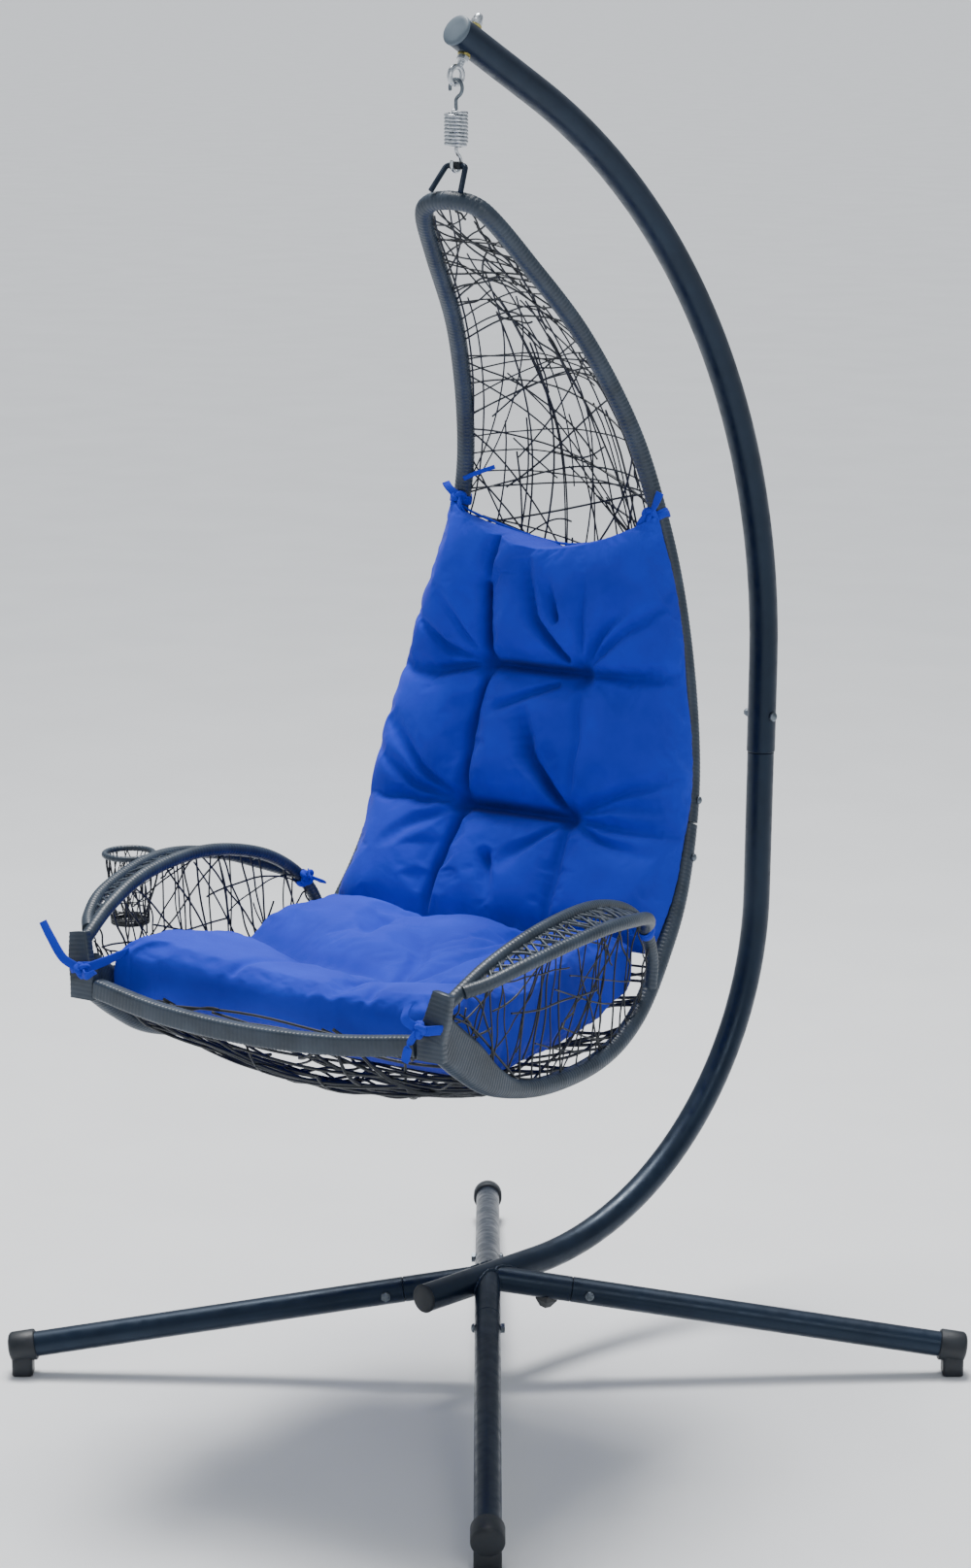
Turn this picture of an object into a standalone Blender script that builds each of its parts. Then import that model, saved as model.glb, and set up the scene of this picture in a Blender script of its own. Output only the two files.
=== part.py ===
"""Hanging chaise chair on a C-shaped stand, as separate named pieces.

Frame: metres, +Z up.  The chair faces -Y and the bow of the stand bulges towards +Y.
The origin lies on the floor, in the middle of the object's footprint.
"left" and "right" are the sitter's: left is +X.
"""
import math

import bmesh
import bpy
from mathutils import Matrix, Vector

# ---------------------------------------------------------------- driving dimensions
STAND_Y = 0.0041           # the hub's place, so that the whole object is centred on Y
GAP = 0.0003                # clearance between pieces that touch

LEG_R = 0.019               # 38 mm leg tube
LEG_WALL = 0.0018
LEG_SPREAD = 0.698          # hub axis to the middle of a foot cap
HUB_Z = 0.152               # height of the leg axes where they cross
FOOT_Z = 0.0425             # height of a leg's axis at the middle of its cap
STUB_END = 0.125            # where a welded stub ends and the leg tube starts
SPIGOT_END = 0.205          # how far the stub's thinner end reaches into the leg
LEG_BOLT_AT = 0.152
CAP_LENGTH = 0.042
CAP_R = 0.0235

BOW_LOWER_R = 0.0209        # 42 mm tube
BOW_UPPER_R = 0.0222        # 44.5 mm tube
BOW_WALL = 0.0018
BOW_FRONT_END = -0.131      # the lower tube runs on past the hub to here
BOW_STRAIGHT_TO = 0.103     # where the lower sweep starts
LOWER_SWEEP_R = 0.496
LOWER_SWEEP_DEG = 88.9
BACK_LENGTH = 0.3635        # nearly straight stretch behind the chair
UPPER_SWEEP_R = 1.0
UPPER_SWEEP_TO_DEG = 150.7
TIP_LENGTH = 0.177          # straight end after the upper sweep
SEAM_ABOVE_SWEEP = 0.225    # tube joint, measured up the straight stretch
SPIGOT_LENGTH = 0.120
JOINT_BOLT_ABOVE_SEAM = 0.058

EYE_BOLT_FROM_TIP = 0.027
EYE_WIRE_R = 0.004
EYE_RING_R = 0.012
EYE_BELOW_AXIS = 0.054      # tube axis to the middle of the eye, along the bolt
HANG_GAP = 0.0008           # play between a hook and what it hangs on

SPRING_R = 0.0147           # mean radius of the coil
SPRING_WIRE_R = 0.0025
COIL_LENGTH = 0.049
HOOK_R = 0.012              # mean radius of both hooks
UPPER_STEM = 0.0195         # straight runs between the hooks' circles and the coil
LOWER_STEM = 0.0105

CHAIR_TURN_DEG = 13.0       # the chair hangs turned this far about its hook
LOOP_ROD_R = 0.004
LOOP_SLEEVE_R = 0.0055
LOOP_BAR_HALF = 0.0145
RAIL_R = 0.0135             # wicker-wrapped main tube
ARM_R = 0.0095
SEAM_Z = 0.849              # where the upper hoop meets the seat frame
NET_T = 0.0024

# ---------------------------------------------------------------- chair outlines
# Main rail on the sitter's left, from the top of the hoop to the front corner: half width, y, z.
RAIL = [
    (0.0, -0.017, 1.750), (0.033, -0.013, 1.745), (0.055, 0.003, 1.725), (0.076, 0.062, 1.664),
    (0.107, 0.165, 1.553), (0.140, 0.243, 1.420), (0.166, 0.279, 1.300), (0.200, 0.280, 1.174),
    (0.234, 0.259, 1.029), (0.258, 0.227, 0.895), (0.272, 0.174, 0.765), (0.280, 0.108, 0.680),
    (0.285, 0.024, 0.605), (0.286, -0.080, 0.569), (0.286, -0.228, 0.570), (0.286, -0.360, 0.602),
    (0.286, -0.440, 0.645), (0.286, -0.515, 0.700),
]
ARM_INNER = [
    (0.299, -0.492, 0.752), (0.310, -0.418, 0.785), (0.320, -0.326, 0.808), (0.321, -0.220, 0.815),
    (0.315, -0.130, 0.806), (0.305, -0.040, 0.779), (0.296, 0.028, 0.735), (0.289, 0.062, 0.685),
    (0.287, 0.062, 0.640),
]
ARM_OUTER = [
    (0.308, -0.470, 0.763), (0.330, -0.440, 0.772), (0.354, -0.382, 0.788), (0.371, -0.295, 0.800),
    (0.379, -0.218, 0.804), (0.377, -0.149, 0.798), (0.357, -0.075, 0.782), (0.330, -0.020, 0.760),
    (0.303, 0.020, 0.742),
]
FRONT_RAIL = [(-0.2612, -0.512, 0.694), (-0.14, -0.529, 0.681), (0.0, -0.535, 0.676),
              (0.14, -0.529, 0.681), (0.2612, -0.512, 0.694)]

# ---------------------------------------------------------------- clean start
for old in list(bpy.data.objects):
    bpy.data.objects.remove(old, do_unlink=True)


# ---------------------------------------------------------------- materials
def material(name, color, roughness, metallic=0.0):
    mat = bpy.data.materials.new(name)
    mat.use_nodes = True
    shader = mat.node_tree.nodes["Principled BSDF"]
    shader.inputs["Base Color"].default_value = (*color, 1.0)
    shader.inputs["Roughness"].default_value = roughness
    shader.inputs["Metallic"].default_value = metallic
    mat.diffuse_color = (*color, 1.0)
    return mat


POWDER_COAT = ("powder_coat", (0.020, 0.030, 0.045), 0.45, 0.2)
BLACK_PLASTIC = ("black_plastic", (0.012, 0.014, 0.018), 0.6)
ZINC = ("zinc", (0.62, 0.66, 0.70), 0.3, 0.9)
BRASS_ZINC = ("yellow_zinc", (0.45, 0.38, 0.12), 0.35, 0.9)
WRAP = ("wicker_wrap", (0.045, 0.058, 0.075), 0.55)
WICKER = ("wicker_strand", (0.010, 0.014, 0.018), 0.5)
FABRIC = ("cushion_fabric", (0.020, 0.075, 0.420), 0.9)


# ---------------------------------------------------------------- mesh helpers
def place(name, mesh, look, parent=None, pivot=None, smooth_deg=35.0):
    """Put a mesh in the scene as a named piece with its own material.

    A piece on a parent keeps heights above the floor in its mesh; one with a pivot
    gets its origin there.
    """
    mesh.shade_smooth()
    mesh.set_sharp_from_angle(angle=math.radians(smooth_deg))
    obj = bpy.data.objects.new(name, mesh)
    bpy.context.scene.collection.objects.link(obj)
    mesh.materials.append(material(name + "_" + look[0], *look[1:]))
    if parent is not None:
        mesh.transform(Matrix.Translation((0, 0, -parent.location.z)))
        obj.parent = parent
    if pivot is not None:
        mesh.transform(Matrix.Translation(-pivot))
        obj.location = pivot
    return obj


def finish(bm, name):
    bmesh.ops.recalc_face_normals(bm, faces=bm.faces)
    mesh = bpy.data.meshes.new(name)
    bm.to_mesh(mesh)
    bm.free()
    return mesh


def spline(points, count):
    """Evenly spaced points along a Catmull-Rom curve through the given points."""
    pts = [Vector(p) for p in points]
    pts = [2 * pts[0] - pts[1]] + pts + [2 * pts[-1] - pts[-2]]
    dense = []
    for i in range(1, len(pts) - 2):
        p0, p1, p2, p3 = pts[i - 1:i + 3]
        for step in range(24):
            t = step / 24
            dense.append(0.5 * ((2 * p1) + (p2 - p0) * t + (2 * p0 - 5 * p1 + 4 * p2 - p3) * t * t
                                + (3 * p1 - p0 - 3 * p2 + p3) * t ** 3))
    dense.append(pts[-2])
    return resample(dense, count)


def resample(dense, count):
    lengths = [0.0]
    for a, b in zip(dense, dense[1:]):
        lengths.append(lengths[-1] + (b - a).length)
    result = []
    j = 0
    for i in range(count):
        want = lengths[-1] * i / (count - 1)
        while j < len(dense) - 2 and lengths[j + 1] < want:
            j += 1
        span = max(lengths[j + 1] - lengths[j], 1e-9)
        result.append(dense[j].lerp(dense[j + 1], (want - lengths[j]) / span))
    return result


def tangents(path):
    result = []
    for i in range(len(path)):
        a = path[max(i - 1, 0)]
        b = path[min(i + 1, len(path) - 1)]
        result.append((b - a).normalized())
    return result


def frames(path, hint=None):
    """Side and up vectors along a path: carried along it, or always square to a hint."""
    directions = tangents(path)
    side = None
    result = []
    for tangent in directions:
        if hint is not None:
            side = Vector(hint)
        elif side is None:
            side = Vector((1, 0, 0)) if abs(tangent.x) < 0.9 else Vector((0, 0, 1))
        side = (side - side.dot(tangent) * tangent).normalized()
        result.append((side, tangent.cross(side)))
    return result


def circle(radius, sides):
    return [(radius * math.cos(2 * math.pi * (i + 0.5) / sides),
             radius * math.sin(2 * math.pi * (i + 0.5) / sides)) for i in range(sides)]


def sweep(name, path, sections, bore=None, hint=None):
    """Sweep one outline, or one outline for each point, along a path.

    With a bore radius, or one for each point, the result is a tube with open ends,
    otherwise it is solid.
    """
    if not isinstance(sections[0], list):
        sections = [sections] * len(path)
    if bore and not isinstance(bore, list):
        bore = [bore] * len(path)
    bm = bmesh.new()
    turned_axes = frames(path, hint)
    count = len(sections[0])

    def ring(point, axes, outline):
        return [bm.verts.new(point + axes[0] * u + axes[1] * v) for u, v in outline]

    outer = [ring(p, f, s) for p, f, s in zip(path, turned_axes, sections)]
    skins = [outer]
    if bore:
        skins.append([ring(p, f, circle(hole, count)) for p, f, hole in zip(path, turned_axes, bore)])
    for skin in skins:
        for a, b in zip(skin, skin[1:]):
            for i in range(count):
                j = (i + 1) % count
                bm.faces.new((a[i], a[j], b[j], b[i]))
    for end in (0, -1):
        if bore:
            for i in range(count):
                j = (i + 1) % count
                bm.faces.new((skins[0][end][i], skins[0][end][j], skins[1][end][j], skins[1][end][i]))
        else:
            bm.faces.new(outer[end])
    return finish(bm, name)


def turned(name, profile, sides=24):
    """A piece turned about Z from (radius, z) points; the ends are closed on the axis."""
    bm = bmesh.new()
    rings = []
    for radius, z in profile:
        if radius < 1e-6:
            rings.append([bm.verts.new((0, 0, z))])
        else:
            rings.append([bm.verts.new((x, y, z)) for x, y in circle(radius, sides)])
    for a, b in zip(rings, rings[1:]):
        for i in range(sides):
            j = (i + 1) % sides
            if len(a) == 1:
                bm.faces.new((a[0], b[j], b[i]))
            elif len(b) == 1:
                bm.faces.new((a[i], a[j], b[0]))
            else:
                bm.faces.new((a[i], a[j], b[j], b[i]))
    return finish(bm, name)


def box(name, low, high, bevel=0.0):
    bm = bmesh.new()
    bmesh.ops.create_cube(bm, size=1.0)
    low = Vector(low)
    high = Vector(high)
    for vert in bm.verts:
        vert.co = Vector(((low[k] + high[k]) / 2 + vert.co[k] * (high[k] - low[k]) for k in range(3)))
    if bevel:
        bmesh.ops.bevel(bm, geom=list(bm.edges), offset=bevel, segments=2, affect="EDGES")
    return finish(bm, name)


def moved(mesh, matrix):
    mesh.transform(matrix)
    return mesh


def combined(mesh, other, operation):
    """Boolean of two meshes, as a new mesh."""
    a = bpy.data.objects.new("boolean_a", mesh)
    b = bpy.data.objects.new("boolean_b", other)
    bpy.context.scene.collection.objects.link(a)
    bpy.context.scene.collection.objects.link(b)
    modifier = a.modifiers.new("boolean", "BOOLEAN")
    modifier.operation = operation
    modifier.object = b
    bpy.context.view_layer.update()
    evaluated = a.evaluated_get(bpy.context.evaluated_depsgraph_get())
    result = bpy.data.meshes.new_from_object(evaluated)
    bpy.data.objects.remove(a)
    bpy.data.objects.remove(b)
    return result


def cut(mesh, *others):
    for other in others:
        mesh = combined(mesh, other, "DIFFERENCE")
    return mesh


def joined(mesh, *others):
    for other in others:
        mesh = combined(mesh, other, "UNION")
    return mesh


def aim(point, direction, roll_hint=(0, 0, 1)):
    """Matrix that puts Z along a direction at a point."""
    z = Vector(direction).normalized()
    x = Vector(roll_hint).cross(z)
    if x.length < 1e-6:
        x = Vector((1, 0, 0))
    x.normalize()
    y = z.cross(x)
    turn = Matrix((x, y, z)).transposed().to_4x4()
    return Matrix.Translation(point) @ turn


def rod(name, start, end, radius, sides=16):
    return sweep(name, [Vector(start), Vector(end)], circle(radius, sides))


def slab(name, grid, thickness):
    """A closed sheet of even thickness around a grid of points."""
    rows = len(grid)
    cols = len(grid[0])
    bm = bmesh.new()
    layers = []
    normals = []
    for i in range(rows):
        line = []
        for j in range(cols):
            along = grid[min(i + 1, rows - 1)][j] - grid[max(i - 1, 0)][j]
            across = grid[i][min(j + 1, cols - 1)] - grid[i][max(j - 1, 0)]
            line.append(along.cross(across).normalized())
        normals.append(line)
    for offset in (thickness / 2, -thickness / 2):
        layers.append([[bm.verts.new(grid[i][j] + normals[i][j] * offset) for j in range(cols)]
                       for i in range(rows)])
    top, low = layers
    for i in range(rows - 1):
        for j in range(cols - 1):
            bm.faces.new((top[i][j], top[i + 1][j], top[i + 1][j + 1], top[i][j + 1]))
            bm.faces.new((low[i][j], low[i][j + 1], low[i + 1][j + 1], low[i + 1][j]))
    edge = [(i, 0) for i in range(rows)] + [(rows - 1, j) for j in range(1, cols)]
    edge += [(i, cols - 1) for i in range(rows - 2, -1, -1)] + [(0, j) for j in range(cols - 2, 0, -1)]
    for (a, b), (c, d) in zip(edge, edge[1:] + edge[:1]):
        bm.faces.new((top[a][b], top[c][d], low[c][d], low[a][b]))
    return finish(bm, name)


def hex_prism(radius, low, high):
    return turned("hexagon", [(0, low), (radius, low), (radius, high), (0, high)], 6)


# ---------------------------------------------------------------- the bow of the stand
def bow_path():
    """Centreline of the bow, front end to tip, and the distance along it of each point."""
    points = [Vector((0, BOW_FRONT_END, HUB_Z)), Vector((0, BOW_STRAIGHT_TO, HUB_Z))]
    sweep_end = math.radians(LOWER_SWEEP_DEG)
    for i in range(1, 13):
        a = sweep_end * i / 12
        points.append(Vector((0, BOW_STRAIGHT_TO + LOWER_SWEEP_R * math.sin(a),
                              HUB_Z + LOWER_SWEEP_R * (1 - math.cos(a)))))
    lower_end = len(points) - 1
    up = Vector((0, math.cos(sweep_end), math.sin(sweep_end)))
    start = points[-1]
    seam = start + up * SEAM_ABOVE_SWEEP
    points.append(start + up * BACK_LENGTH)
    centre = points[-1] + Vector((0, -math.sin(sweep_end), math.cos(sweep_end))) * UPPER_SWEEP_R
    last = math.radians(UPPER_SWEEP_TO_DEG)
    for i in range(1, 16):
        a = sweep_end + (last - sweep_end) * i / 15
        points.append(centre + Vector((0, math.sin(a), -math.cos(a))) * UPPER_SWEEP_R)
    points.append(points[-1] + Vector((0, math.cos(last), math.sin(last))) * TIP_LENGTH)
    return points, lower_end, seam, up


def on_stand(path):
    return [p + Vector((0, STAND_Y, 0)) for p in path]


def build_bow():
    points, lower_end, seam, up = bow_path()
    seam = seam + Vector((0, STAND_Y, 0))
    points = on_stand(points)
    lower = points[:lower_end + 1] + [seam - up * GAP]
    upper = [seam] + points[lower_end + 1:]
    bolt_at = seam + up * JOINT_BOLT_ABOVE_SEAM
    bolt_hole = rod("bolt_hole", bolt_at - Vector((0.04, 0, 0)), bolt_at + Vector((0.04, 0, 0)), 0.0043, 8)

    # The lower tube's end is drawn down to a spigot that carries the upper tube.
    spigot_r = BOW_UPPER_R - BOW_WALL - GAP
    shoulder = seam - up * GAP
    lower = lower[:-1] + [shoulder, shoulder + up * 0.0001, seam + up * SPIGOT_LENGTH]
    radii = [BOW_LOWER_R] * (len(lower) - 2) + [spigot_r] * 2
    tube = sweep("lower_bow", lower, [circle(r, 16) for r in radii], [spigot_r - BOW_WALL] * len(lower))
    place("lower_bow_tube", cut(tube, bolt_hole.copy()), POWDER_COAT)

    tube = sweep("upper_bow", upper, circle(BOW_UPPER_R, 16), BOW_UPPER_R - BOW_WALL)
    tip = upper[-1]
    tip_dir = (upper[-1] - upper[-2]).normalized()
    eye_from = tip - tip_dir * EYE_BOLT_FROM_TIP
    down = Vector((0, -tip_dir.z, tip_dir.y))
    if down.z > 0:
        down = -down
    eye_hole = rod("eye_hole", eye_from - down * 0.04, eye_from + down * 0.04, 0.0053, 12)
    place("upper_bow_tube", cut(tube, bolt_hole, eye_hole), POWDER_COAT)

    # Moulded cap in the tip and plug in the front end of the lower tube.
    inside = (BOW_UPPER_R - BOW_WALL) * 0.96
    face = BOW_UPPER_R + 0.0008
    cap = turned("cap", [(0, -0.008), (inside, -0.008), (inside, GAP), (face, GAP), (face, 0.003),
                         (face - 0.002, 0.0048), (0, 0.006)], 16)
    place("bow_tip_cap", moved(cap, aim(tip, tip_dir)), BLACK_PLASTIC)
    inside = (spigot_r - BOW_WALL) * 0.96
    face = BOW_LOWER_R + 0.0006
    plug = turned("plug", [(0, -0.014), (inside, -0.014), (inside, GAP), (face, GAP), (face, 0.003),
                           (face - 0.002, 0.0045), (0, 0.0052)], 16)
    place("bow_front_plug", moved(plug, aim(lower[0], (0, -1, 0))), BLACK_PLASTIC)

    # Through bolt that locks the two bow tubes.
    reach = BOW_UPPER_R
    bolt = joined(turned("shank", [(0, -reach - 0.0105), (0.004, -reach - 0.0105), (0.004, reach + 0.002),
                                   (0, reach + 0.002)], 8),
                  turned("head", [(0, reach + GAP), (0.0075, reach + GAP), (0.0072, reach + 0.003),
                                  (0.0045, reach + 0.0055), (0, reach + 0.0062)], 16))
    place("bow_joint_bolt", moved(bolt, aim(bolt_at, (1, 0, 0))), ZINC)
    nut = cut(turned("nut", [(0, reach + GAP), (0.0078, reach + GAP), (0.0078, reach + 0.006),
                             (0.0062, reach + 0.0075), (0.0055, reach + 0.011), (0, reach + 0.0135)], 6),
              rod("thread", (0, 0, reach - 0.01), (0, 0, reach + 0.0108), 0.0043, 8))
    place("bow_joint_nut", moved(nut, aim(bolt_at, (-1, 0, 0))), ZINC)
    return eye_from, down


# ---------------------------------------------------------------- the base
def quadrant(sx, sy):
    """Block over one quarter of the hub, clear of its neighbours."""
    far = 0.4
    xs = sorted((sx * GAP, sx * far))
    ys = sorted((STAND_Y + sy * GAP, STAND_Y + sy * far))
    return box("quadrant", (xs[0], ys[0], -0.2), (xs[1], ys[1], 0.4))


def build_leg(place_name, sx, sy):
    """One leg: welded stub, tube, through bolt and moulded foot cap."""
    root = Vector((0, STAND_Y, HUB_Z))
    outward = Vector((sx, sy, 0)).normalized()
    run = outward * LEG_SPREAD + Vector((0, 0, FOOT_Z - HUB_Z))
    direction = run.normalized()
    slope = LEG_SPREAD / run.length

    def at(distance):
        return root + direction * (distance / slope)

    across = Vector((direction.y, -direction.x, 0)).normalized()
    bolt_at = at(LEG_BOLT_AT)
    hole = rod("hole", bolt_at - across * 0.03, bolt_at + across * 0.03, 0.0043, 8)

    stub = joined(sweep("stub", [at(0), at(STUB_END)], circle(LEG_R, 16)),
                  sweep("spigot", [at(STUB_END - 0.02), at(SPIGOT_END)], circle(LEG_R - LEG_WALL - GAP, 16)))
    bow = rod("bow_clearance", root - Vector((0, 0.3, 0)), root + Vector((0, 0.3, 0)), BOW_LOWER_R + GAP, 16)
    stub = combined(stub, quadrant(sx, sy), "INTERSECT")
    bore = rod("bore", at(0.035), at(SPIGOT_END + 0.01), LEG_R - 2 * LEG_WALL - GAP, 16)
    place("leg_stub_" + place_name, cut(stub, bow, bore, hole.copy()), POWDER_COAT)

    tube_end = LEG_SPREAD - CAP_LENGTH / 2 + 0.034
    tube = sweep("leg", [at(STUB_END) + direction * GAP, at(tube_end)], circle(LEG_R, 16), LEG_R - LEG_WALL)
    place("leg_tube_" + place_name, cut(tube, hole), POWDER_COAT)

    bolt = joined(turned("shank", [(0, -LEG_R - 0.006), (0.004, -LEG_R - 0.006), (0.004, LEG_R + 0.002),
                                   (0, LEG_R + 0.002)], 8),
                  turned("head", [(0, LEG_R + GAP), (0.007, LEG_R + GAP), (0.0066, LEG_R + 0.003),
                                  (0.004, LEG_R + 0.005), (0, LEG_R + 0.0056)], 12),
                  hex_prism(0.0075, -LEG_R - 0.0058, -LEG_R - GAP))
    place("leg_bolt_" + place_name, moved(bolt, aim(bolt_at, across)), ZINC)

    # Foot cap: angled collar over the tube's end on a block with a level sole.
    start = at(LEG_SPREAD - CAP_LENGTH / 2)
    collar = turned("collar", [(0, 0), (CAP_R - 0.0015, 0), (CAP_R, 0.002), (CAP_R, CAP_LENGTH - 0.008),
                               (CAP_R - 0.006, CAP_LENGTH - 0.001), (0, CAP_LENGTH)], 16)
    collar = moved(collar, aim(start, direction))
    heading = Matrix.Rotation(math.atan2(outward.y, outward.x), 4, "Z")
    block = box("block", (-0.016, -0.019, 0), (0.015, 0.019, 0.034), 0.003)
    centre = at(LEG_SPREAD)
    block = moved(block, Matrix.Translation((centre.x, centre.y, 0)) @ heading)
    socket = rod("socket", start - direction * 0.02, at(tube_end) + direction * GAP, LEG_R + GAP, 20)
    cap = cut(joined(collar, block), socket)
    place("foot_cap_" + place_name, cap, BLACK_PLASTIC)


def build_stop(name, sx, sy, turn_deg):
    """Faceted rubber stop pressed on the underside of a side stub."""
    root = Vector((0, STAND_Y, HUB_Z))
    outward = Vector((sx, sy, 0)).normalized()
    run = outward * LEG_SPREAD + Vector((0, 0, FOOT_Z - HUB_Z))
    direction = run.normalized()
    seat = root + direction * 0.092
    below = Vector((0, 0, -1)) - direction * direction.dot(Vector((0, 0, -1)))
    below.normalize()
    stop = turned("stop", [(0, LEG_R - 0.006), (0.0165, LEG_R - 0.006), (0.0165, LEG_R + 0.003),
                           (0.008, LEG_R + 0.014), (0, LEG_R + 0.014)], 4)
    turn = Matrix.Rotation(math.radians(turn_deg), 4, "Z")
    stop = moved(stop, aim(seat, below, outward) @ turn)
    stub = rod("clearance", root, root + direction * 0.2, LEG_R + GAP, 20)
    place(name, cut(stop, stub), BLACK_PLASTIC)


# ---------------------------------------------------------------- the hanging gear
def build_eye_bolt(eye_from, down):
    """Eye bolt square to the bow's tip, with its washers and nuts."""
    eye = eye_from + down * EYE_BELOW_AXIS
    seat = BOW_UPPER_R
    ring_top = EYE_BELOW_AXIS - EYE_RING_R
    circle_path = []
    for i in range(20):
        a = 2 * math.pi * i / 20
        circle_path.append(eye + Vector((0, math.cos(a), math.sin(a))) * EYE_RING_R)
    ring = closed_ring("eye", circle_path, EYE_WIRE_R, 8)
    shank = rod("shank", eye_from - down * (seat + 0.011), eye_from + down * (ring_top + 0.001), 0.005, 12)
    place("eye_bolt", joined(ring, shank), ZINC)

    def stacked(name, profile, sides, hole, look, way):
        mesh = cut(turned(name, profile, sides), rod("hole", (0, 0, seat - 0.02), (0, 0, hole), 0.0053, 12))
        mesh = cut(mesh, rod("bow", (0, -0.05, 0), (0, 0.05, 0), seat + GAP, 32))
        place(name, moved(mesh, aim(eye_from, way, (1, 0, 0)) @ Matrix.Rotation(math.pi / 2, 4, "Z")), look)

    saddle = seat + 0.0016
    nut_end = saddle + 0.0075
    stacked("eye_bolt_upper_washer", [(0, seat - 0.004), (0.0095, seat - 0.004), (0.0095, saddle), (0, saddle)],
            12, saddle + 0.01, BRASS_ZINC, -down)
    stacked("eye_bolt_dome_nut", [(0, saddle + GAP), (0.0085, saddle + GAP), (0.0085, nut_end - 0.001),
                                  (0.0072, nut_end), (0.0066, nut_end + 0.005), (0.0045, nut_end + 0.009),
                                  (0, nut_end + 0.0105)], 6, seat + 0.0113, ZINC, -down)
    stacked("eye_bolt_lower_washer", [(0, seat - 0.004), (0.0095, seat - 0.004), (0.0095, saddle), (0, saddle)],
            12, saddle + 0.01, BRASS_ZINC, down)
    stacked("eye_bolt_lock_nut", [(0, saddle + GAP), (0.0085, saddle + GAP), (0.0085, saddle + 0.0065),
                                  (0.0078, saddle + 0.0072), (0, saddle + 0.0072)], 6, saddle + 0.02, ZINC, down)
    return eye + Vector((0, 0, -EYE_RING_R))


def closed_ring(name, path, wire, sides):
    """A closed ring of round wire in a plane that holds the path."""
    centre = sum(path, Vector()) / len(path)
    normal = (path[0] - centre).cross(path[1] - centre).normalized()
    bm = bmesh.new()
    rings = []
    for p in path:
        out = (p - centre).normalized()
        rings.append([bm.verts.new(p + out * u + normal * v) for u, v in circle(wire, sides)])
    for i in range(len(rings)):
        a = rings[i]
        b = rings[(i + 1) % len(rings)]
        for k in range(sides):
            m = (k + 1) % sides
            bm.faces.new((a[k], a[m], b[m], b[k]))
    return finish(bm, name)


def hook_path(centre, across, up, start_deg, end_deg, join):
    """An open hook: an arc about its centre, then a short run to the coil."""
    points = []
    for i in range(15):
        a = math.radians(start_deg + (end_deg - start_deg) * i / 14)
        points.append(centre + (across * math.cos(a) + up * math.sin(a)) * HOOK_R)
    bend = centre.z - up.z * (HOOK_R + 0.002)
    return points + [Vector((join.x, join.y, bend)), join]


def build_spring(hang):
    """Extension spring with a hook at each end, split where it stretches."""
    top_centre = hang + Vector((0, 0, EYE_WIRE_R + HANG_GAP + SPRING_WIRE_R - HOOK_R))
    coil_top = top_centre.z - HOOK_R - UPPER_STEM
    coil_low = coil_top - COIL_LENGTH
    axis = Vector((hang.x, hang.y, 0))
    up = Vector((0, 0, 1))
    section = circle(SPRING_WIRE_R, 8)

    upper = hook_path(top_centre, Vector((1, 0, 0)), up, 200, -62, axis + up * (coil_top + GAP))
    place("spring_upper_hook", sweep("hook", upper, section), ZINC, pivot=hang)

    outer = SPRING_R + SPRING_WIRE_R
    inner = SPRING_R - SPRING_WIRE_R
    coil = cut(turned("coil", [(0, coil_low), (outer, coil_low), (outer, coil_top), (0, coil_top)], 24),
               rod("core", (0, 0, coil_low + 0.004), (0, 0, coil_top - 0.004), inner, 24),
               rod("vent", (0, 0, coil_low - 0.01), (0, 0, coil_top + 0.01), 0.004, 12))
    place("spring_coil", moved(coil, Matrix.Translation((hang.x, hang.y, 0))), ZINC, pivot=hang)

    low_centre = axis + up * (coil_low - LOWER_STEM - HOOK_R)
    turn = math.radians(CHAIR_TURN_DEG)
    back = Vector((-math.sin(turn), math.cos(turn), 0))
    lower = hook_path(low_centre, back, -up, 200, -62, axis + up * (coil_low - GAP))
    place("spring_lower_hook", sweep("hook", lower, section), ZINC, pivot=hang)
    return low_centre.z - HOOK_R + SPRING_WIRE_R + HANG_GAP + LOOP_SLEEVE_R


# ---------------------------------------------------------------- the chair
def mirrored(points, side):
    return [Vector((p[0] * side, p[1], p[2])) for p in points]


def rail_curve():
    return spline(RAIL, 321)


def clip(curve, keep):
    return [p for p in curve if keep(p)]


def is_upper(p):
    return p.z > SEAM_Z


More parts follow.
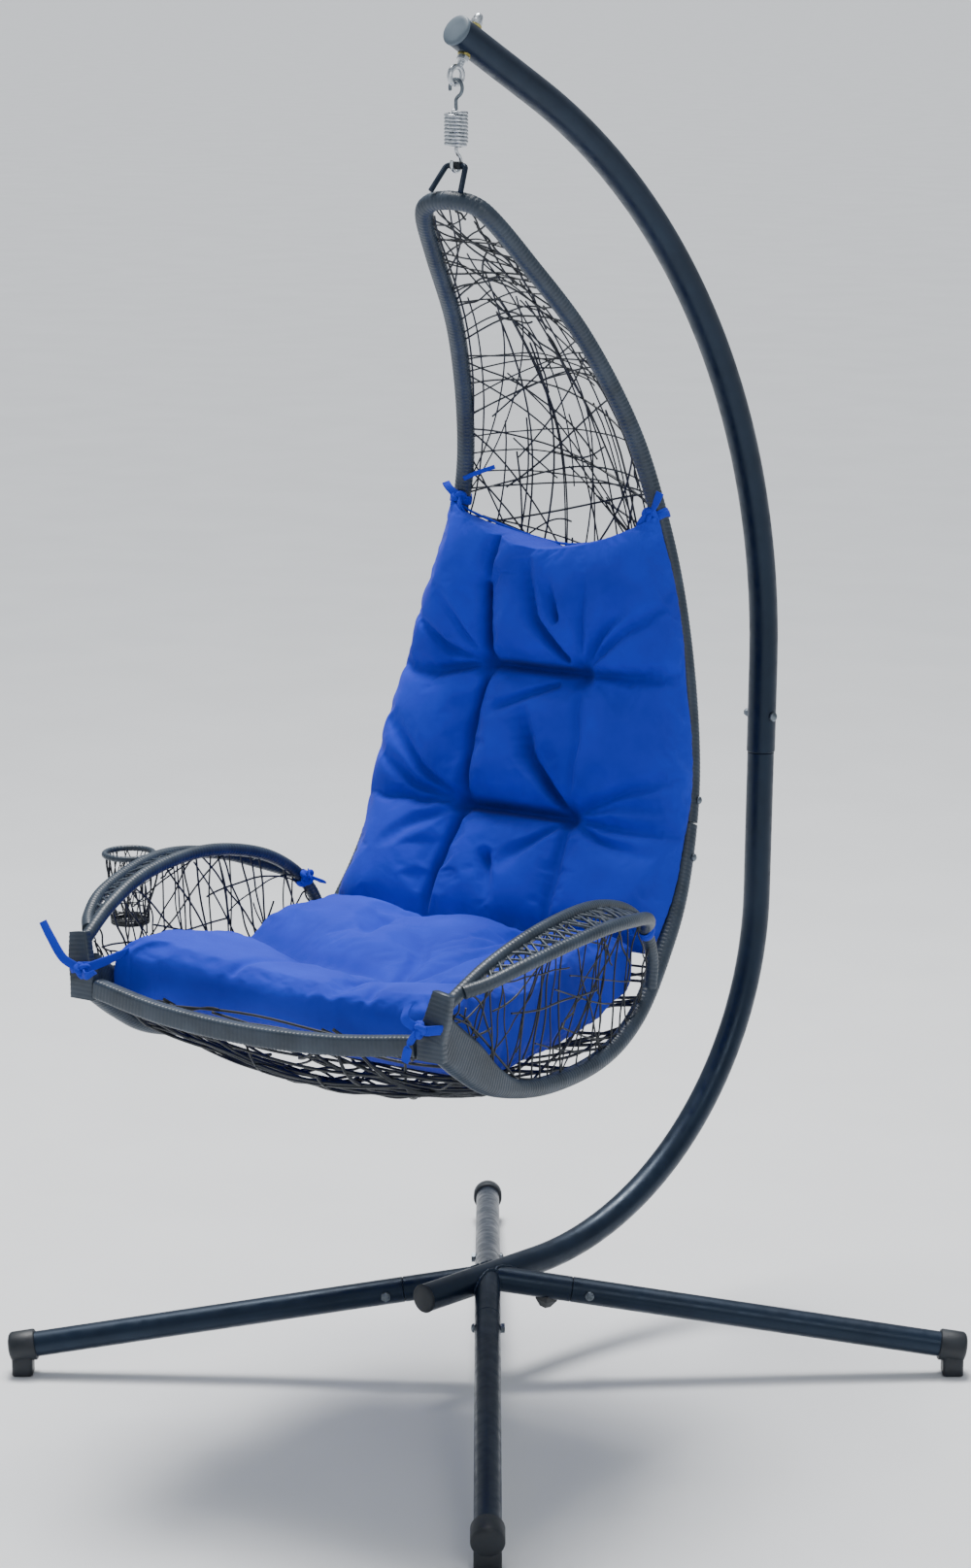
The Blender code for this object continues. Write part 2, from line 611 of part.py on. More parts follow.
def build_frame(chair):
    curve = rail_curve()
    hoop = clip(curve, is_upper)
    seat = clip(curve, lambda p: p.z < SEAM_Z)
    hoop_side = resample(hoop, 26)
    loop = [Vector((-p.x, p.y, p.z)) for p in reversed(hoop_side[1:])] + hoop_side
    joint = seat[0].lerp(hoop[-1], 0.5)
    way = (hoop[-1] - seat[0]).normalized()

    def joint_parts(side):
        centre = Vector((joint.x * side, joint.y, joint.z))
        axis = Vector((way.x * side, way.y, way.z))
        bolts = []
        for name, offset in (("upper", 0.037), ("lower", -0.047)):
            bolts.append((name, centre + axis * offset))
        return centre, axis, bolts

    hoop_mesh = sweep("hoop", loop, circle(RAIL_R, 8))
    for side, word in ((1, "left"), (-1, "right")):
        centre, axis, bolts = joint_parts(side)
        bore = rod("bore", centre - axis * 0.0625, centre + axis * 0.0625, 0.0083, 10)
        holes = [rod("hole", at - Vector((0.03, 0, 0)), at + Vector((0.03, 0, 0)), 0.0033, 8)
                 for _, at in bolts]
        hoop_mesh = cut(hoop_mesh, bore.copy(), holes[0].copy())

        path = resample(mirrored(seat, side), 20)
        sections = []
        for p in path:
            rise = 0.034 * smooth_step((-0.29 - p.y) / 0.16)
            sections.append([(u, v + (rise if v > 0 else 0)) for u, v in circle(RAIL_R, 8)])
        rail = sweep("seat_rail", path, sections, hint=(1, 0, 0))
        rail = cut(rail, bore, holes[1].copy(), band_room(side), front_room())
        place("seat_rail_" + word, rail, WRAP, chair)

        joiner = rod("joiner", centre - axis * 0.061, centre + axis * 0.061, 0.0077, 10)
        place("frame_joiner_" + word, cut(joiner, holes[0].copy(), holes[1].copy()), ZINC, chair)
        for (name, at), hole in zip(bolts, holes):
            out = Vector((side, 0, 0))
            bolt = joined(turned("shank", [(0, -RAIL_R + 0.002), (0.003, -RAIL_R + 0.002), (0.003, RAIL_R + 0.001),
                                           (0, RAIL_R + 0.001)], 8),
                          turned("head", [(0, RAIL_R + GAP), (0.006, RAIL_R + GAP), (0.0055, RAIL_R + 0.002),
                                          (0.003, RAIL_R + 0.0038), (0, RAIL_R + 0.0042)], 10))
            place("frame_bolt_" + word + "_" + name, moved(bolt, aim(at, out)), ZINC, chair)
    place("upper_hoop", hoop_mesh, WRAP, chair)


def smooth_step(t):
    t = min(max(t, 0.0), 1.0)
    return t * t * (3 - 2 * t)


def band_path(side):
    return mirrored([(0.285, -0.5115, 0.677), (0.285, -0.5115, 0.706), (0.292, -0.508, 0.730),
                     (0.298, -0.502, 0.768)], side)


def band_room(side):
    """What a corner band takes up, with a little clearance."""
    return sweep("band_room", band_path(side), [rectangle(0.021, 0.0078 + GAP)] * 4, hint=(1, 0, 0))


def front_room():
    return box("front_room", (-1, -0.7, 0.5), (1, -0.5115, 0.9))


def rectangle(half_w, half_d, corner=0.003):
    points = []
    for sx, sy in ((1, 1), (-1, 1), (-1, -1), (1, -1)):
        ends = [(sx * half_w, sy * (half_d - corner)), (sx * (half_w - corner), sy * half_d)]
        if sx * sy < 0:
            ends.reverse()
        points += ends
    return points


def build_seat_sides(chair):
    seat = clip(rail_curve(), lambda p: p.z < SEAM_Z)
    for side, word in ((1, "left"), (-1, "right")):
        sections = [rectangle(0.0205, 0.0078), rectangle(0.0205, 0.0078), rectangle(0.018, 0.0078),
                    rectangle(0.0145, 0.0078)]
        band = sweep("band", band_path(side), sections, hint=(1, 0, 0))
        place("corner_band_" + word, band, WRAP, chair)

        inner = spline(mirrored(ARM_INNER, side), 18)
        outer = spline(mirrored(ARM_OUTER, side), 16)
        rail_path = resample(mirrored(seat, side), 20)
        rail_room = sweep("rail_room", rail_path, circle(RAIL_R + GAP, 8), hint=(1, 0, 0))
        arm = cut(sweep("arm", inner, circle(ARM_R, 8)), band_room(side), rail_room)
        place("arm_inner_rail_" + word, arm, WRAP, chair)
        inner_room = sweep("inner_room", inner, circle(ARM_R + GAP, 8))
        arm = cut(sweep("arm", outer, circle(ARM_R, 8)), band_room(side), inner_room)
        place("arm_outer_rail_" + word, arm, WRAP, chair)
        build_arm_lattice(chair, word, inner, outer)
        build_side_net(chair, word, side, seat)


def nearest_y(curve, y):
    return min(curve, key=lambda p: abs(p.y - y))


def build_arm_lattice(chair, word, inner, outer):
    """One strand that runs to and fro between the two arm rails."""
    strand = 0.003
    reach = ARM_R + strand + 0.0020
    points = []
    stations = 11
    for i in range(stations):
        y = -0.385 + 0.300 * i / (stations - 1)
        a = nearest_y(inner, y)
        b = nearest_y(outer, y + (0.012 if i % 2 else -0.012))
        across = (b - a).normalized()
        points.append(a + across * reach if i % 2 else b - across * reach)
    path = []
    for a, b in zip(points, points[1:]):
        path += [a, a.lerp(b, 0.5)]
    path.append(points[-1])
    place("arm_lattice_" + word, sweep("lattice", path, circle(strand, 6)), WICKER, chair)


def build_side_net(chair, word, side, seat):
    """Flat net that closes the oval between the seat rail and the arm."""
    arm = spline(ARM_INNER, 200)
    lower = [p for p in seat if p.z < 0.70]
    grid = []
    columns = 12
    for i in range(columns):
        y = -0.462 + 0.496 * i / (columns - 1)
        low = nearest_y([p for p in lower if p.y < 0.06], y)
        top = nearest_y([p for p in arm if p.z > 0.70], y)
        rise = 0.034 * smooth_step((-0.29 - y) / 0.16)
        slant = 1.0 + 0.45 * smooth_step((-0.22 - y) / 0.2) + 0.30 * smooth_step((y + 0.05) / 0.1)
        z_low = low.z + (RAIL_R + 0.0015) * slant + rise * 1.25
        z_top = top.z - (ARM_R + 0.0015) * (1.0 + 0.5 * smooth_step((abs(y + 0.22) - 0.08) / 0.18))
        z_top = max(z_top, z_low + 0.004)
        x_low = low.x * side
        x_top = top.x * side
        grid.append([Vector((x_low + (x_top - x_low) * k / 3, y, z_low + (z_top - z_low) * k / 3))
                     for k in range(4)])
    place("side_net_" + word, slab("side_net", grid, NET_T), WICKER, chair)


def rail_normals(curve):
    """For each point of the main rail, the direction in the Y-Z plane that points away from the sitter."""
    result = []
    for tangent in tangents(curve):
        flat = Vector((0, tangent.y, tangent.z)).normalized()
        result.append(Vector((0, -flat.z, flat.y)))
    return result


def net_grid(points, sags, columns=7):
    """Rows of points from rail to rail, each row sagging away from the sitter."""
    normals = rail_normals(points)
    grid = []
    for p, normal, sag in zip(points, normals, sags):
        half = p.x - RAIL_R - 0.0020
        row = []
        for j in range(columns):
            u = -1 + 2 * j / (columns - 1)
            row.append(Vector((half * u, p.y, p.z)) + normal * (sag * (1 - u * u)))
        grid.append(row)
    return grid


def build_nets(chair):
    curve = rail_curve()
    back = resample(clip(curve, lambda p: 0.690 < p.z < 1.690 and p.y > -0.1), 18)
    sags = []
    for p in back:
        sags.append(0.062 * smooth_step((1.70 - p.z) / 0.35))
    place("back_net", slab("back_net", net_grid(back, sags), NET_T), WICKER, chair)

    bottom = [p for p in curve if p.z < 0.6885 and p.y > -0.478]
    bottom = resample(bottom, 15)
    sags = []
    for p in bottom:
        front = smooth_step((p.y + 0.500) / 0.2)
        sags.append(0.044 * front)
    grid = net_grid(bottom, sags)
    place("seat_net", slab("seat_net", grid, NET_T), WICKER, chair)


def build_front_rail(chair):
    path = spline(FRONT_RAIL, 13)
    section = rectangle(0.0135, 0.0095, 0.005)
    place("front_rail", sweep("front_rail", path, section, hint=(0, 0, 1)), WRAP, chair)


def build_hanging_loop(chair, bar_z):
    """Trapezoid of round rod, welded on top of the hoop, with a plastic sleeve on its bar."""
    foot = [(0.0245, -0.0265, 1.7645), (0.021, -0.020, 1.773), (LOOP_BAR_HALF + 0.003, -0.0035, bar_z - 0.0045),
            (LOOP_BAR_HALF, -0.0006, bar_z - 0.0008), (LOOP_BAR_HALF - 0.004, 0.0, bar_z)]
    path = [Vector(p) for p in foot]
    path = path + [Vector((-p.x, p.y, p.z)) for p in reversed(path)]
    rail = rail_curve()[:24]
    room = [Vector((-p.x, p.y, p.z)) for p in reversed(rail[1:])] + rail
    mesh = cut(sweep("loop", path, circle(LOOP_ROD_R, 10)), sweep("room", room, circle(RAIL_R + GAP, 8)))
    place("hanging_loop", mesh, POWDER_COAT, chair)


def build_loop_sleeve(parent, bar_z):
    half = LOOP_BAR_HALF - 0.0055
    mesh = cut(rod("sleeve", (-half, 0, bar_z), (half, 0, bar_z), LOOP_SLEEVE_R, 16),
               rod("bore", (-0.03, 0, bar_z), (0.03, 0, bar_z), LOOP_ROD_R + GAP, 16))
    place("loop_sleeve", mesh, BLACK_PLASTIC, parent)


def build_cup_holder(chair):
    """Wrapped ring with a woven basket, carried on the sitter's right arm."""
    centre = Vector((-0.4205, -0.228, 0.806))
    radius = 0.0355
    path = [centre + Vector((math.cos(2 * math.pi * i / 20), math.sin(2 * math.pi * i / 20), 0)) * radius
            for i in range(20)]
    outer = spline(mirrored(ARM_OUTER, -1), 16)
    room = sweep("room", outer, circle(ARM_R + GAP, 8))
    place("cup_ring", cut(closed_ring("ring", path, 0.0045, 8), room.copy()), WRAP, chair)
    top = centre.z - 0.0052
    wall = 0.0022
    profile = [(0, top - 0.1), (0.027, top - 0.1), (0.033, top), (0.033 - wall, top), (0.027 - wall, top - 0.1 + wall),
               (0, top - 0.1 + wall)]
    basket = turned("basket", profile, 24)
    basket = moved(basket, Matrix.Translation((centre.x, centre.y, 0)))
    place("cup_basket", cut(basket, room), WICKER, chair)


# ---------------------------------------------------------------- the cushion
def section_back(half):
    """Half outline of the back pad, as (x, offset towards the sitter), front middle to back middle."""
    crown = 0.052
    return [(0, crown), (half * 0.45, crown), (half * 0.8, crown * 0.92), (half - 0.008, crown * 0.72),
            (half + 0.004, 0.026), (half + 0.001, 0.0150), (half - 0.016, 0.0150), (half - 0.030, 0.008),
            (half * 0.75, -0.012), (half * 0.4, -0.034), (0, -0.044)]


def full(outline):
    return outline + [(-x, v) for x, v in reversed(outline[1:-1])]


def build_back_pad(chair):
    curve = rail_curve()
    rows = resample(clip(curve, lambda p: 0.672 < p.z < 1.262 and p.y > -0.1), 15)
    normals = rail_normals(rows)
    bm = bmesh.new()
    rings = []
    for i, (p, normal) in enumerate(zip(rows, normals)):
        end = min(i, len(rows) - 1 - i)
        thin = (0.62, 0.9, 1.0)[min(end, 2)]
        outline = full(section_back(min(p.x, 0.2715)))
        middle = 0.020
        rings.append([bm.verts.new(Vector((x, p.y, p.z)) - normal * (middle + (v - middle) * thin))
                      for x, v in outline])
    return pad(bm, rings, "cushion_back_pad", chair)


def pad(bm, rings, name, chair):
    count = len(rings[0])
    for a, b in zip(rings, rings[1:]):
        for i in range(count):
            j = (i + 1) % count
            bm.faces.new((a[i], a[j], b[j], b[i]))
    bm.faces.new(rings[0])
    bm.faces.new(rings[-1])
    return place(name, finish(bm, name), FABRIC, chair, smooth_deg=60.0)


def build_seat_pad(chair):
    """Thick seat pad lying in the seat net, from the fold to the front rail."""
    bm = bmesh.new()
    rings = []
    stations = 13
    half = 0.266
    for i in range(stations):
        y = 0.052 - 0.492 * i / (stations - 1)
        end = min(i, stations - 1 - i)
        lift = (0.016, 0.004, 0.0)[min(end, 2)]
        front = smooth_step((-0.25 - y) / 0.18)
        low = 0.637 + 0.036 * front
        top = 0.712 + 0.016 * front
        outline = [(0, top - lift), (half * 0.5, top - lift + 0.006), (half * 0.85, top - lift + 0.014),
                   (half - 0.006, top - lift + 0.006), (half, top - 0.025), (half, low + 0.030),
                   (half - 0.010, low + 0.014 + lift), (half * 0.8, low + 0.004 + lift),
                   (half * 0.45, low + lift), (0, low + lift)]
        rings.append([bm.verts.new((x, y, z)) for x, z in full(outline)])
    return pad(bm, rings, "cushion_seat_pad", chair)


# ---------------------------------------------------------------- assembly
def empty(name, location, turn_deg=0.0):
    obj = bpy.data.objects.new(name, None)
    bpy.context.scene.collection.objects.link(obj)
    obj.location = location
    obj.rotation_euler = (0, 0, math.radians(turn_deg))
    return obj


def main():
    eye_from, down = build_bow()
    for word, sx, sy in (("front_left", 1, -1), ("front_right", -1, -1), ("rear_left", 1, 1),
                         ("rear_right", -1, 1)):
        build_leg(word, sx, sy)
    build_stop("stub_stop_front_right", -1, -1, 0)
    build_stop("stub_stop_rear_left", 1, 1, 45)
    hang = build_eye_bolt(eye_from, down)
    bar_z = build_spring(hang)
    bar = (hang.x, hang.y, bar_z)
    chair = empty("chair_pivot", bar, CHAIR_TURN_DEG)
    build_loop_sleeve(empty("sleeve_pivot", bar, CHAIR_TURN_DEG), bar_z)
    build_hanging_loop(chair, bar_z)
    build_frame(chair)
    build_seat_sides(chair)
    build_front_rail(chair)
    build_nets(chair)
    build_cup_holder(chair)
    build_back_pad(chair)
    build_seat_pad(chair)
    print("hang point", tuple(round(v, 4) for v in hang), "bar height", round(bar_z, 4))


main()
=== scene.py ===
# %% [markdown]
# # A hanging garden chair on a bow stand
# This lesson dresses a plain imported model of a swing chair: steel tubes, a coil spring, wicker
# and a tufted cushion. The imported model says where each piece is and what it moves with. Every
# piece made here but the spring's coil rides on one of its bodies, so the chair can swing, turn
# and bounce; the coil is left fixed where it stands.

# %% Load the imported model
import math

import bpy
import numpy as np
from mathutils import Matrix, Vector


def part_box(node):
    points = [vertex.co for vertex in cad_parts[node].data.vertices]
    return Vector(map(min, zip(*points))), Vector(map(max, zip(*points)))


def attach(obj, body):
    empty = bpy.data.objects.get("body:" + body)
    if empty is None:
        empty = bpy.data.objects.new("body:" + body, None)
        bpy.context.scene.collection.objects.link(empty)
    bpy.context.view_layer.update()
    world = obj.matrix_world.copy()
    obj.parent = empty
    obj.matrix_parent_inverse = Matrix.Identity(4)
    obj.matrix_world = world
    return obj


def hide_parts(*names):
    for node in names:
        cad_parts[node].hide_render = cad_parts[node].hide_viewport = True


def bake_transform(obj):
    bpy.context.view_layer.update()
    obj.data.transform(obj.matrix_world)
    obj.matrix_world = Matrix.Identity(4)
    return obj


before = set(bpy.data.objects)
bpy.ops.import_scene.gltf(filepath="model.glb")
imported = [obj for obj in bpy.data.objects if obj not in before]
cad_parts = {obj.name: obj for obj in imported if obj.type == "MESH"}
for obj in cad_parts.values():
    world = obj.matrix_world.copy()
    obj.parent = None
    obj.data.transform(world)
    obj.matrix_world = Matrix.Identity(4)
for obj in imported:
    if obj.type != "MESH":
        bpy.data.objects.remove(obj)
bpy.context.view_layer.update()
print("pieces in the packed model:", len(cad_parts))

# %% [markdown]
# The chair hangs turned a little on its hook, so its own shapes are easiest to give in its own
# axes: x to the sitter's left, y to the back, z up from the floor. One matrix carries them to
# their place. The hook's place comes from the sleeve that the chair hangs by.

# %% The chair's own axes
sleeve_low, sleeve_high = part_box("loop_sleeve")
HANG = (sleeve_low + sleeve_high) / 2
CHAIR_TURN = math.radians(13)
CHAIR = Matrix.Translation((HANG.x, HANG.y, 0)) @ Matrix.Rotation(CHAIR_TURN, 4, "Z")
print("the chair hangs from", [round(v, 4) for v in HANG])

# %% [markdown]
# Most of this object is bent tube or strand. All of it can be made by one tool: an outline that
# is carried along a line. Blender's curves can do this too, but arrays of points let a wicker
# wrap be pressed into the outline as it goes, and they are quick.

# %% Lines through points
def even(path, count):
    """The same line with evenly spaced points."""
    path = np.asarray(path, float)
    at = np.concatenate([[0], np.cumsum(np.linalg.norm(np.diff(path, axis=0), axis=1))])
    want = np.linspace(0, at[-1], count)
    return np.column_stack([np.interp(want, at, path[:, k]) for k in range(3)])


def length_of(path):
    return float(np.linalg.norm(np.diff(np.asarray(path, float), axis=0), axis=1).sum())


def curve(points, count):
    """Evenly spaced points on a smooth curve through a few given ones."""
    pts = np.array(points, float)
    pts = np.vstack([2 * pts[0] - pts[1], pts, 2 * pts[-1] - pts[-2]])
    dense = []
    t = np.linspace(0, 1, 24, endpoint=False)[:, None]
    for i in range(1, len(pts) - 2):
        p0, p1, p2, p3 = pts[i - 1:i + 3]
        dense.append(0.5 * (2 * p1 + (p2 - p0) * t + (2 * p0 - 5 * p1 + 4 * p2 - p3) * t ** 2
                            + (3 * p1 - p0 - 3 * p2 + p3) * t ** 3))
    return even(np.vstack(dense + [pts[-2:-1]]), count)


def bent(points, radius, count):
    """A line with its corners rounded, as a bent rod has."""
    pts = [np.array(p, float) for p in points]
    line = [pts[0]]
    for a, b, c in zip(pts, pts[1:], pts[2:]):
        start = b + (a - b) * min(radius / np.linalg.norm(a - b), 0.48)
        end = b + (c - b) * min(radius / np.linalg.norm(c - b), 0.48)
        for t in np.linspace(0, 1, 9):
            line.append(start * (1 - t) ** 2 + 2 * b * t * (1 - t) + end * t ** 2)
    return even(np.array(line + [pts[-1]]), count)


def smooth(t):
    """A step from 0 to 1 that starts and ends gently."""
    t = np.clip(t, 0.0, 1.0)
    return t * t * (3 - 2 * t)


def placed(points, matrix):
    """Points carried to their place by a matrix."""
    m = np.array(matrix)
    return points @ m[:3, :3].T + m[:3, 3]


# %% An outline carried along a line
def axes_along(path, hint=None, closed=False):
    """Side and up at each point of a line: carried along, or kept square to a hint."""
    path = np.asarray(path, float)
    along = np.roll(path, -1, 0) - np.roll(path, 1, 0) if closed else np.gradient(path, axis=0)
    along = along / np.linalg.norm(along, axis=1)[:, None]
    side = None
    sides = []
    for tangent in along:
        if hint is not None:
            side = np.array(hint, float)
        elif side is None:
            side = np.array((1.0, 0, 0)) if abs(tangent[0]) < 0.9 else np.array((0, 0, 1.0))
        side = side - side.dot(tangent) * tangent
        side = side / np.linalg.norm(side)
        sides.append(side)
    sides = np.array(sides)
    return sides, np.cross(along, sides)


def round_outline(radius, sides=24):
    angle = 2 * np.pi * np.arange(sides) / sides
    return np.column_stack([np.cos(angle), np.sin(angle)]) * radius


def soft_rectangle(half_w, half_d, corner, steps=5):
    """A rectangle's outline with each corner rounded in a few steps."""
    points = []
    for sx, sy, start in ((1, 1, 0), (-1, 1, 90), (-1, -1, 180), (1, -1, 270)):
        for a in np.radians(start + np.linspace(0, 90, steps)):
            points.append((sx * (half_w - corner) + corner * math.cos(a),
                           sy * (half_d - corner) + corner * math.sin(a)))
    return np.array(points)


def skin(rows, sides, closed=False):
    """Faces between rows of points, with a cap on each end of an open skin."""
    i = np.arange(rows if closed else rows - 1)[:, None]
    j = np.arange(sides)[None, :]
    after = (i + 1) % rows
    k = (j + 1) % sides
    faces = np.stack([i * sides + j, i * sides + k, after * sides + k, after * sides + j], -1)
    faces = faces.reshape(-1, 4).tolist()
    if not closed:
        faces.append(list(range(sides))[::-1])
        faces.append([(rows - 1) * sides + q for q in range(sides)])
    return faces


def swept(path, outline, hint=None, closed=False):
    """Corners and faces of an outline, or one outline for each point, along a line."""
    path = np.asarray(path, float)
    outline = np.asarray(outline, float)
    if outline.ndim == 2:
        outline = np.broadcast_to(outline, (len(path),) + outline.shape)
    side, up = axes_along(path, hint, closed)
    corners = path[:, None] + side[:, None] * outline[:, :, :1] + up[:, None] * outline[:, :, 1:]
    return corners.reshape(-1, 3), skin(len(path), outline.shape[1], closed)


def swelling(path, radii, sides, closed=False):
    """A round tube along a line, with its own radius at each point."""
    return swept(path, round_outline(1.0, sides)[None] * radii[:, None, None], closed=closed)


def turned(profile, sides, matrix):
    """A piece turned on a lathe from (radius, height) points, put in place by a matrix."""
    rows = [(max(r, 1e-5), z) for r, z in profile]
    angle = 2 * np.pi * (np.arange(sides) + 0.5) / sides
    corners = np.array([[r * math.cos(a), r * math.sin(a), z] for r, z in rows for a in angle])
    return placed(corners, matrix), skin(len(rows), sides)


def aim(point, direction, hint=(0, 0, 1)):
    """Matrix that puts Z along a direction at a point."""
    z = Vector(direction).normalized()
    x = Vector(hint).cross(z)
    if x.length < 1e-6:
        x = Vector((1, 0, 0))
    x.normalize()
    return Matrix.Translation(Vector(point)) @ Matrix((x, z.cross(x), z)).transposed().to_4x4()


# %% A named piece in its place
def piece(name, parts, look, body, stands_for=(), sharp=40.0, own_axes=False, ends=None):
    """Join parts into one object with a look, and let it ride on a body unless it has ends."""
    faces = []
    start = 0
    for part_corners, part_faces in parts:
        faces += [[q + start for q in face] for face in part_faces]
        start += len(part_corners)
    corners = np.vstack([part_corners for part_corners, _ in parts])
    if own_axes:
        corners = placed(corners, CHAIR)
    mesh = bpy.data.meshes.new(name)
    mesh.from_pydata(corners.tolist(), [], faces)
    mesh.validate()
    mesh.shade_smooth()
    mesh.set_sharp_from_angle(angle=math.radians(sharp))
    obj = bpy.data.objects.new(name, mesh)
    bpy.context.scene.collection.objects.link(obj)
    mesh.materials.append(look)
    return settle(obj, body, stands_for, ends)


def chair_piece(name, parts, look, stands_for=(), sharp=80):
    """A piece given in the chair's own axes, which rides on the chair."""
    return piece(name, parts, look, "chair", stands_for, sharp, own_axes=True)


def settle(obj, body, stands_for=(), ends=None):
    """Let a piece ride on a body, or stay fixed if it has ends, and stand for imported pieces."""
    if ends:
        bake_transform(obj)
    else:
        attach(obj, body)
    if stands_for:
        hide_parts(*stands_for)
    print(obj.name, "has", len(obj.data.vertices), "corners")
    return obj


# %% [markdown]
# ## Finishes
# Powder coat is a baked plastic skin: it has a fine orange-peel surface and a soft shine. Zinc
# plate is bright and slightly mottled. Moulded plastic is dull with a fine grain. Wicker here is
# extruded resin strand with faint lengthwise lines. The cushion cover is a plain-weave canvas,
# with shade painted darker into its folds.
# Each is built from procedural nodes in the object's own metres, so nothing slides or repeats.

# %% A starting point for every finish
def finish_nodes(name, color, roughness, metallic=0.0):
    mat = bpy.data.materials.new(name)
    mat.use_nodes = True
    nodes = mat.node_tree.nodes
    shader = nodes["Principled BSDF"]
    shader.inputs["Base Color"].default_value = (*color, 1)
    shader.inputs["Roughness"].default_value = roughness
    shader.inputs["Metallic"].default_value = metallic
    place = nodes.new("ShaderNodeTexCoord")
    return mat, nodes, mat.node_tree.links, shader, place.outputs["Object"]


def noise(nodes, links, where, scale, detail=3.0):
    node = nodes.new("ShaderNodeTexNoise")
    node.inputs["Scale"].default_value = scale
    node.inputs["Detail"].default_value = detail
    links.new(where, node.inputs["Vector"])
    return node.outputs["Fac"]


def between(nodes, links, factor, low, high, start=0.35, end=0.65):
    """Colour that runs between two values as a factor runs from start to end."""
    ramp = nodes.new("ShaderNodeValToRGB")
    ramp.color_ramp.elements[0].position = start
    ramp.color_ramp.elements[0].color = (*low, 1)
    ramp.color_ramp.elements[1].position = end
    ramp.color_ramp.elements[1].color = (*high, 1)
    links.new(factor, ramp.inputs["Fac"])
    return ramp.outputs["Color"]


def grey(value):
    return (value, value, value)


def bump(nodes, links, shader, height, strength, depth, under=None):
    node = nodes.new("ShaderNodeBump")
    node.inputs["Strength"].default_value = strength
    node.inputs["Distance"].default_value = depth
    links.new(height, node.inputs["Height"])
    if under:
        links.new(under, node.inputs["Normal"])
    links.new(node.outputs["Normal"], shader.inputs["Normal"])
    return node.outputs["Normal"]


# %% Powder coat, plastic and plated steel
def powder_coat():
    mat, nodes, links, shader, where = finish_nodes("powder_coat", (0.02, 0.03, 0.045), 0.4)
    patch = noise(nodes, links, where, 14)
    links.new(between(nodes, links, patch, (0.0030, 0.0070, 0.0165), (0.0052, 0.0112, 0.0245)),
              shader.inputs["Base Color"])
    scuff = noise(nodes, links, where, 60, 6)
    links.new(between(nodes, links, scuff, grey(0.30), grey(0.48)), shader.inputs["Roughness"])
    shader.inputs["Specular IOR Level"].default_value = 0.42
    shader.inputs["Specular Tint"].default_value = (0.55, 0.74, 1.0, 1)
    shader.inputs["Coat Weight"].default_value = 0.08
    shader.inputs["Coat Roughness"].default_value = 0.25
    bump(nodes, links, shader, noise(nodes, links, where, 900, 2), 0.12, 0.0003)
    return mat


def moulded_plastic(name, low, high):
    mat, nodes, links, shader, where = finish_nodes(name, high, 0.6)
    patch = noise(nodes, links, where, 40)
    links.new(between(nodes, links, patch, low, high), shader.inputs["Base Color"])
    links.new(between(nodes, links, patch, grey(0.45), grey(0.62)), shader.inputs["Roughness"])
    bump(nodes, links, shader, noise(nodes, links, where, 1400, 2), 0.3, 0.0002)
    return mat


def plated(name, low, high, rough):
    mat, nodes, links, shader, where = finish_nodes(name, high, rough, 1.0)
    patch = noise(nodes, links, where, 160, 5)
    links.new(between(nodes, links, patch, low, high), shader.inputs["Base Color"])
    links.new(between(nodes, links, patch, grey(rough - 0.08), grey(rough + 0.12)),
              shader.inputs["Roughness"])
    bump(nodes, links, shader, noise(nodes, links, where, 2500, 2), 0.15, 0.0001)
    return mat


POWDER_COAT = powder_coat()
PLASTIC = moulded_plastic("moulded_plastic", (0.0045, 0.0075, 0.0125), (0.0095, 0.0145, 0.0215))
CAP_PLASTIC = moulded_plastic("bleached_plastic", (0.075, 0.105, 0.135), (0.110, 0.145, 0.180))
ZINC = plated("zinc_plate", (0.40, 0.43, 0.46), (0.66, 0.69, 0.72), 0.30)
DARK_ZINC = plated("weathered_zinc", (0.10, 0.12, 0.14), (0.22, 0.25, 0.28), 0.42)
YELLOW_ZINC = plated("yellow_zinc_plate", (0.34, 0.28, 0.08), (0.62, 0.56, 0.22), 0.34)
print("metal and plastic finishes:", len(bpy.data.materials))


# %% Wicker strand and wicker wrap
def wicker(name, low, high, roughness):
    mat, nodes, links, shader, where = finish_nodes(name, high, roughness)
    patch = noise(nodes, links, where, 25, 6)
    links.new(between(nodes, links, patch, low, high, 0.3, 0.7), shader.inputs["Base Color"])
    grain = noise(nodes, links, where, 700, 4)
    links.new(between(nodes, links, grain, grey(roughness - 0.1), grey(roughness + 0.12)),
              shader.inputs["Roughness"])
    bump(nodes, links, shader, grain, 0.35, 0.0004)
    return mat


WRAP = wicker("wicker_wrap", (0.016, 0.027, 0.042), (0.034, 0.052, 0.078), 0.42)
STRAND = wicker("wicker_strand", (0.004, 0.007, 0.011), (0.010, 0.015, 0.022), 0.45)


